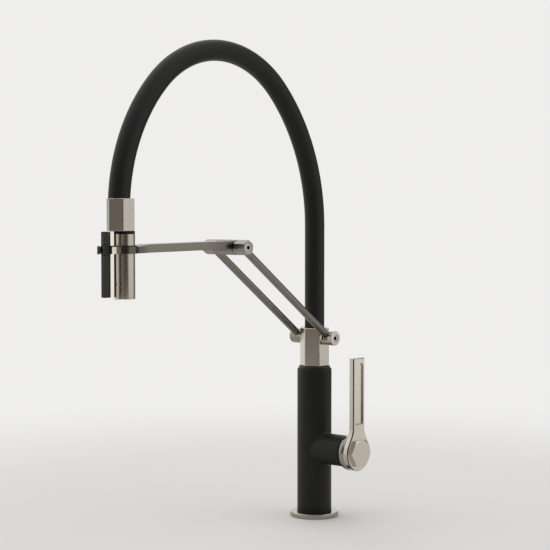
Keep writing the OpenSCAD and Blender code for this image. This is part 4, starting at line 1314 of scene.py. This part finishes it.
# %% Hexagon cap
CROWN_DEPTH = 3.1 * MM
cap_low, cap_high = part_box("lever_cap")
cap_flats = cap_high.z - cap_low.z
cap = piece("cap", extruded(hexagon(cap_flats / cos(pi / 6)), cap_low.x, cap_high.x), lever_place)
crown_cone = [(0, cap_low.x - MM), (cap_flats * 0.7, cap_low.x - MM),
              (cap_flats * 0.7, cap_high.x - CROWN_DEPTH),
              (cap_flats / 2 - 0.2 * MM, cap_high.x), (0, cap_high.x)]
common(cap, tool(turned(crown_cone, steps=120), lever_place))
break_edges(cap, 0.3 * MM, 2, 20)
# The cap's finish is a lighter nickel, as painted light.
dress(cap, "lever", nickel_cap_painted_light, "lever_cap")
tell(cap)

# %% [markdown]
# ## Floor and light
# Metal shows what stands round it, so the studio is the world itself: dark behind the camera, a
# tall panel on the right, a narrower one on the left with two faint ones beside it, one at the
# back and one overhead. Seen straight, the world is one even pale tone.

# %% World
PALE = (0.86, 0.855, 0.845)
toward_camera = Vector((CAMERA_AT.x, CAMERA_AT.y, 0)).normalized()
to_the_right = Vector((-toward_camera.y, toward_camera.x, 0))


def studio_way(turn, lift):
    """A direction: turned to the right of the camera and lifted above the floor, in degrees."""
    turn, lift = radians(turn), radians(lift)
    level = toward_camera * cos(turn) + to_the_right * sin(turn)
    return level * cos(lift) + UP * sin(lift)


PANELS = (                                   # turn, lift, half angle, softness, strength
    (78, 8, 40, 8, 0.85), (-92, 12, 27, 9, 0.75), (-66, 20, 40, 25, 0.2), (-52, 20, 13, 8, 0.3),
    (0, 90, 45, 25, 1.15), (-157, 12, 44, 15, 0.98))
STUDIO_DARK = 0.085
DARK_TINT, LIGHT_TINT = (1.0, 0.885, 0.76, 1), (1.0, 0.99, 0.97, 1)
world = bpy.data.worlds.new("studio")
world.use_nodes = True
bpy.context.scene.world = world
w = Graph(world.node_tree)
ray = w.node("ShaderNodeTexCoord", output=0)
level = None
for turn, lift, half, soft, strength in PANELS:
    near = w.along(ray, studio_way(turn, lift))
    panel = near.ramp(cos(radians(half + soft)), cos(radians(half - soft))) * strength
    level = panel + STUDIO_DARK if level is None else level + panel
studio_tint = w.mix(DARK_TINT, LIGHT_TINT, level.ramp(0.1, 0.7))
light_path = w.node("ShaderNodeLightPath", output=0)
studio_light = w.node("ShaderNodeBackground", None, {"Color": studio_tint, "Strength": level})
seen = w.node("ShaderNodeBackground", None, {"Color": (*PALE, 1), "Strength": 1.0})
shown = w.node("ShaderNodeMixShader", None, (light_path, studio_light, seen))
w.node("ShaderNodeOutputWorld", None, (shown,))
print("studio:", len(PANELS), "panels")

# %% [markdown]
# ## Floor
# The floor is a matt disc that keeps the faucet's shadow. To the camera it fades outwards into
# the same even tone as the world, so that no horizon shows.

# %% Floor
FLOOR_RADIUS, FLOOR_TONE = 1.3, (0.68, 0.677, 0.67, 1)
FADE_START, FADE_END = 0.35, 1.1
rim_points = [(x, y, 0) for x, y in arc((0, 0), FLOOR_RADIUS, 0, 2 * pi * 63 / 64, 63)]
floor = piece("floor", skin([[(0, 0, 0)], rim_points], caps=False))
floor_material = bpy.data.materials.new("pale floor")
floor_material.use_nodes = True
g = Graph(floor_material.node_tree)
from_middle = g.node("ShaderNodeVectorMath", {"operation": "LENGTH"}, (g.place(),), output=1)
far_floor = from_middle.ramp(FADE_START, FADE_END)
camera_ray = g.node("ShaderNodeLightPath", output=0)
matt = g.node("ShaderNodeBsdfDiffuse", None, {"Color": FLOOR_TONE})
flat = g.node("ShaderNodeEmission", None, {"Color": (*PALE, 1), "Strength": 1.0})
g.node("ShaderNodeOutputMaterial", None,
       (g.node("ShaderNodeMixShader", None, (far_floor * camera_ray, matt, flat)),))
floor.data.materials.append(floor_material)
tell(floor)
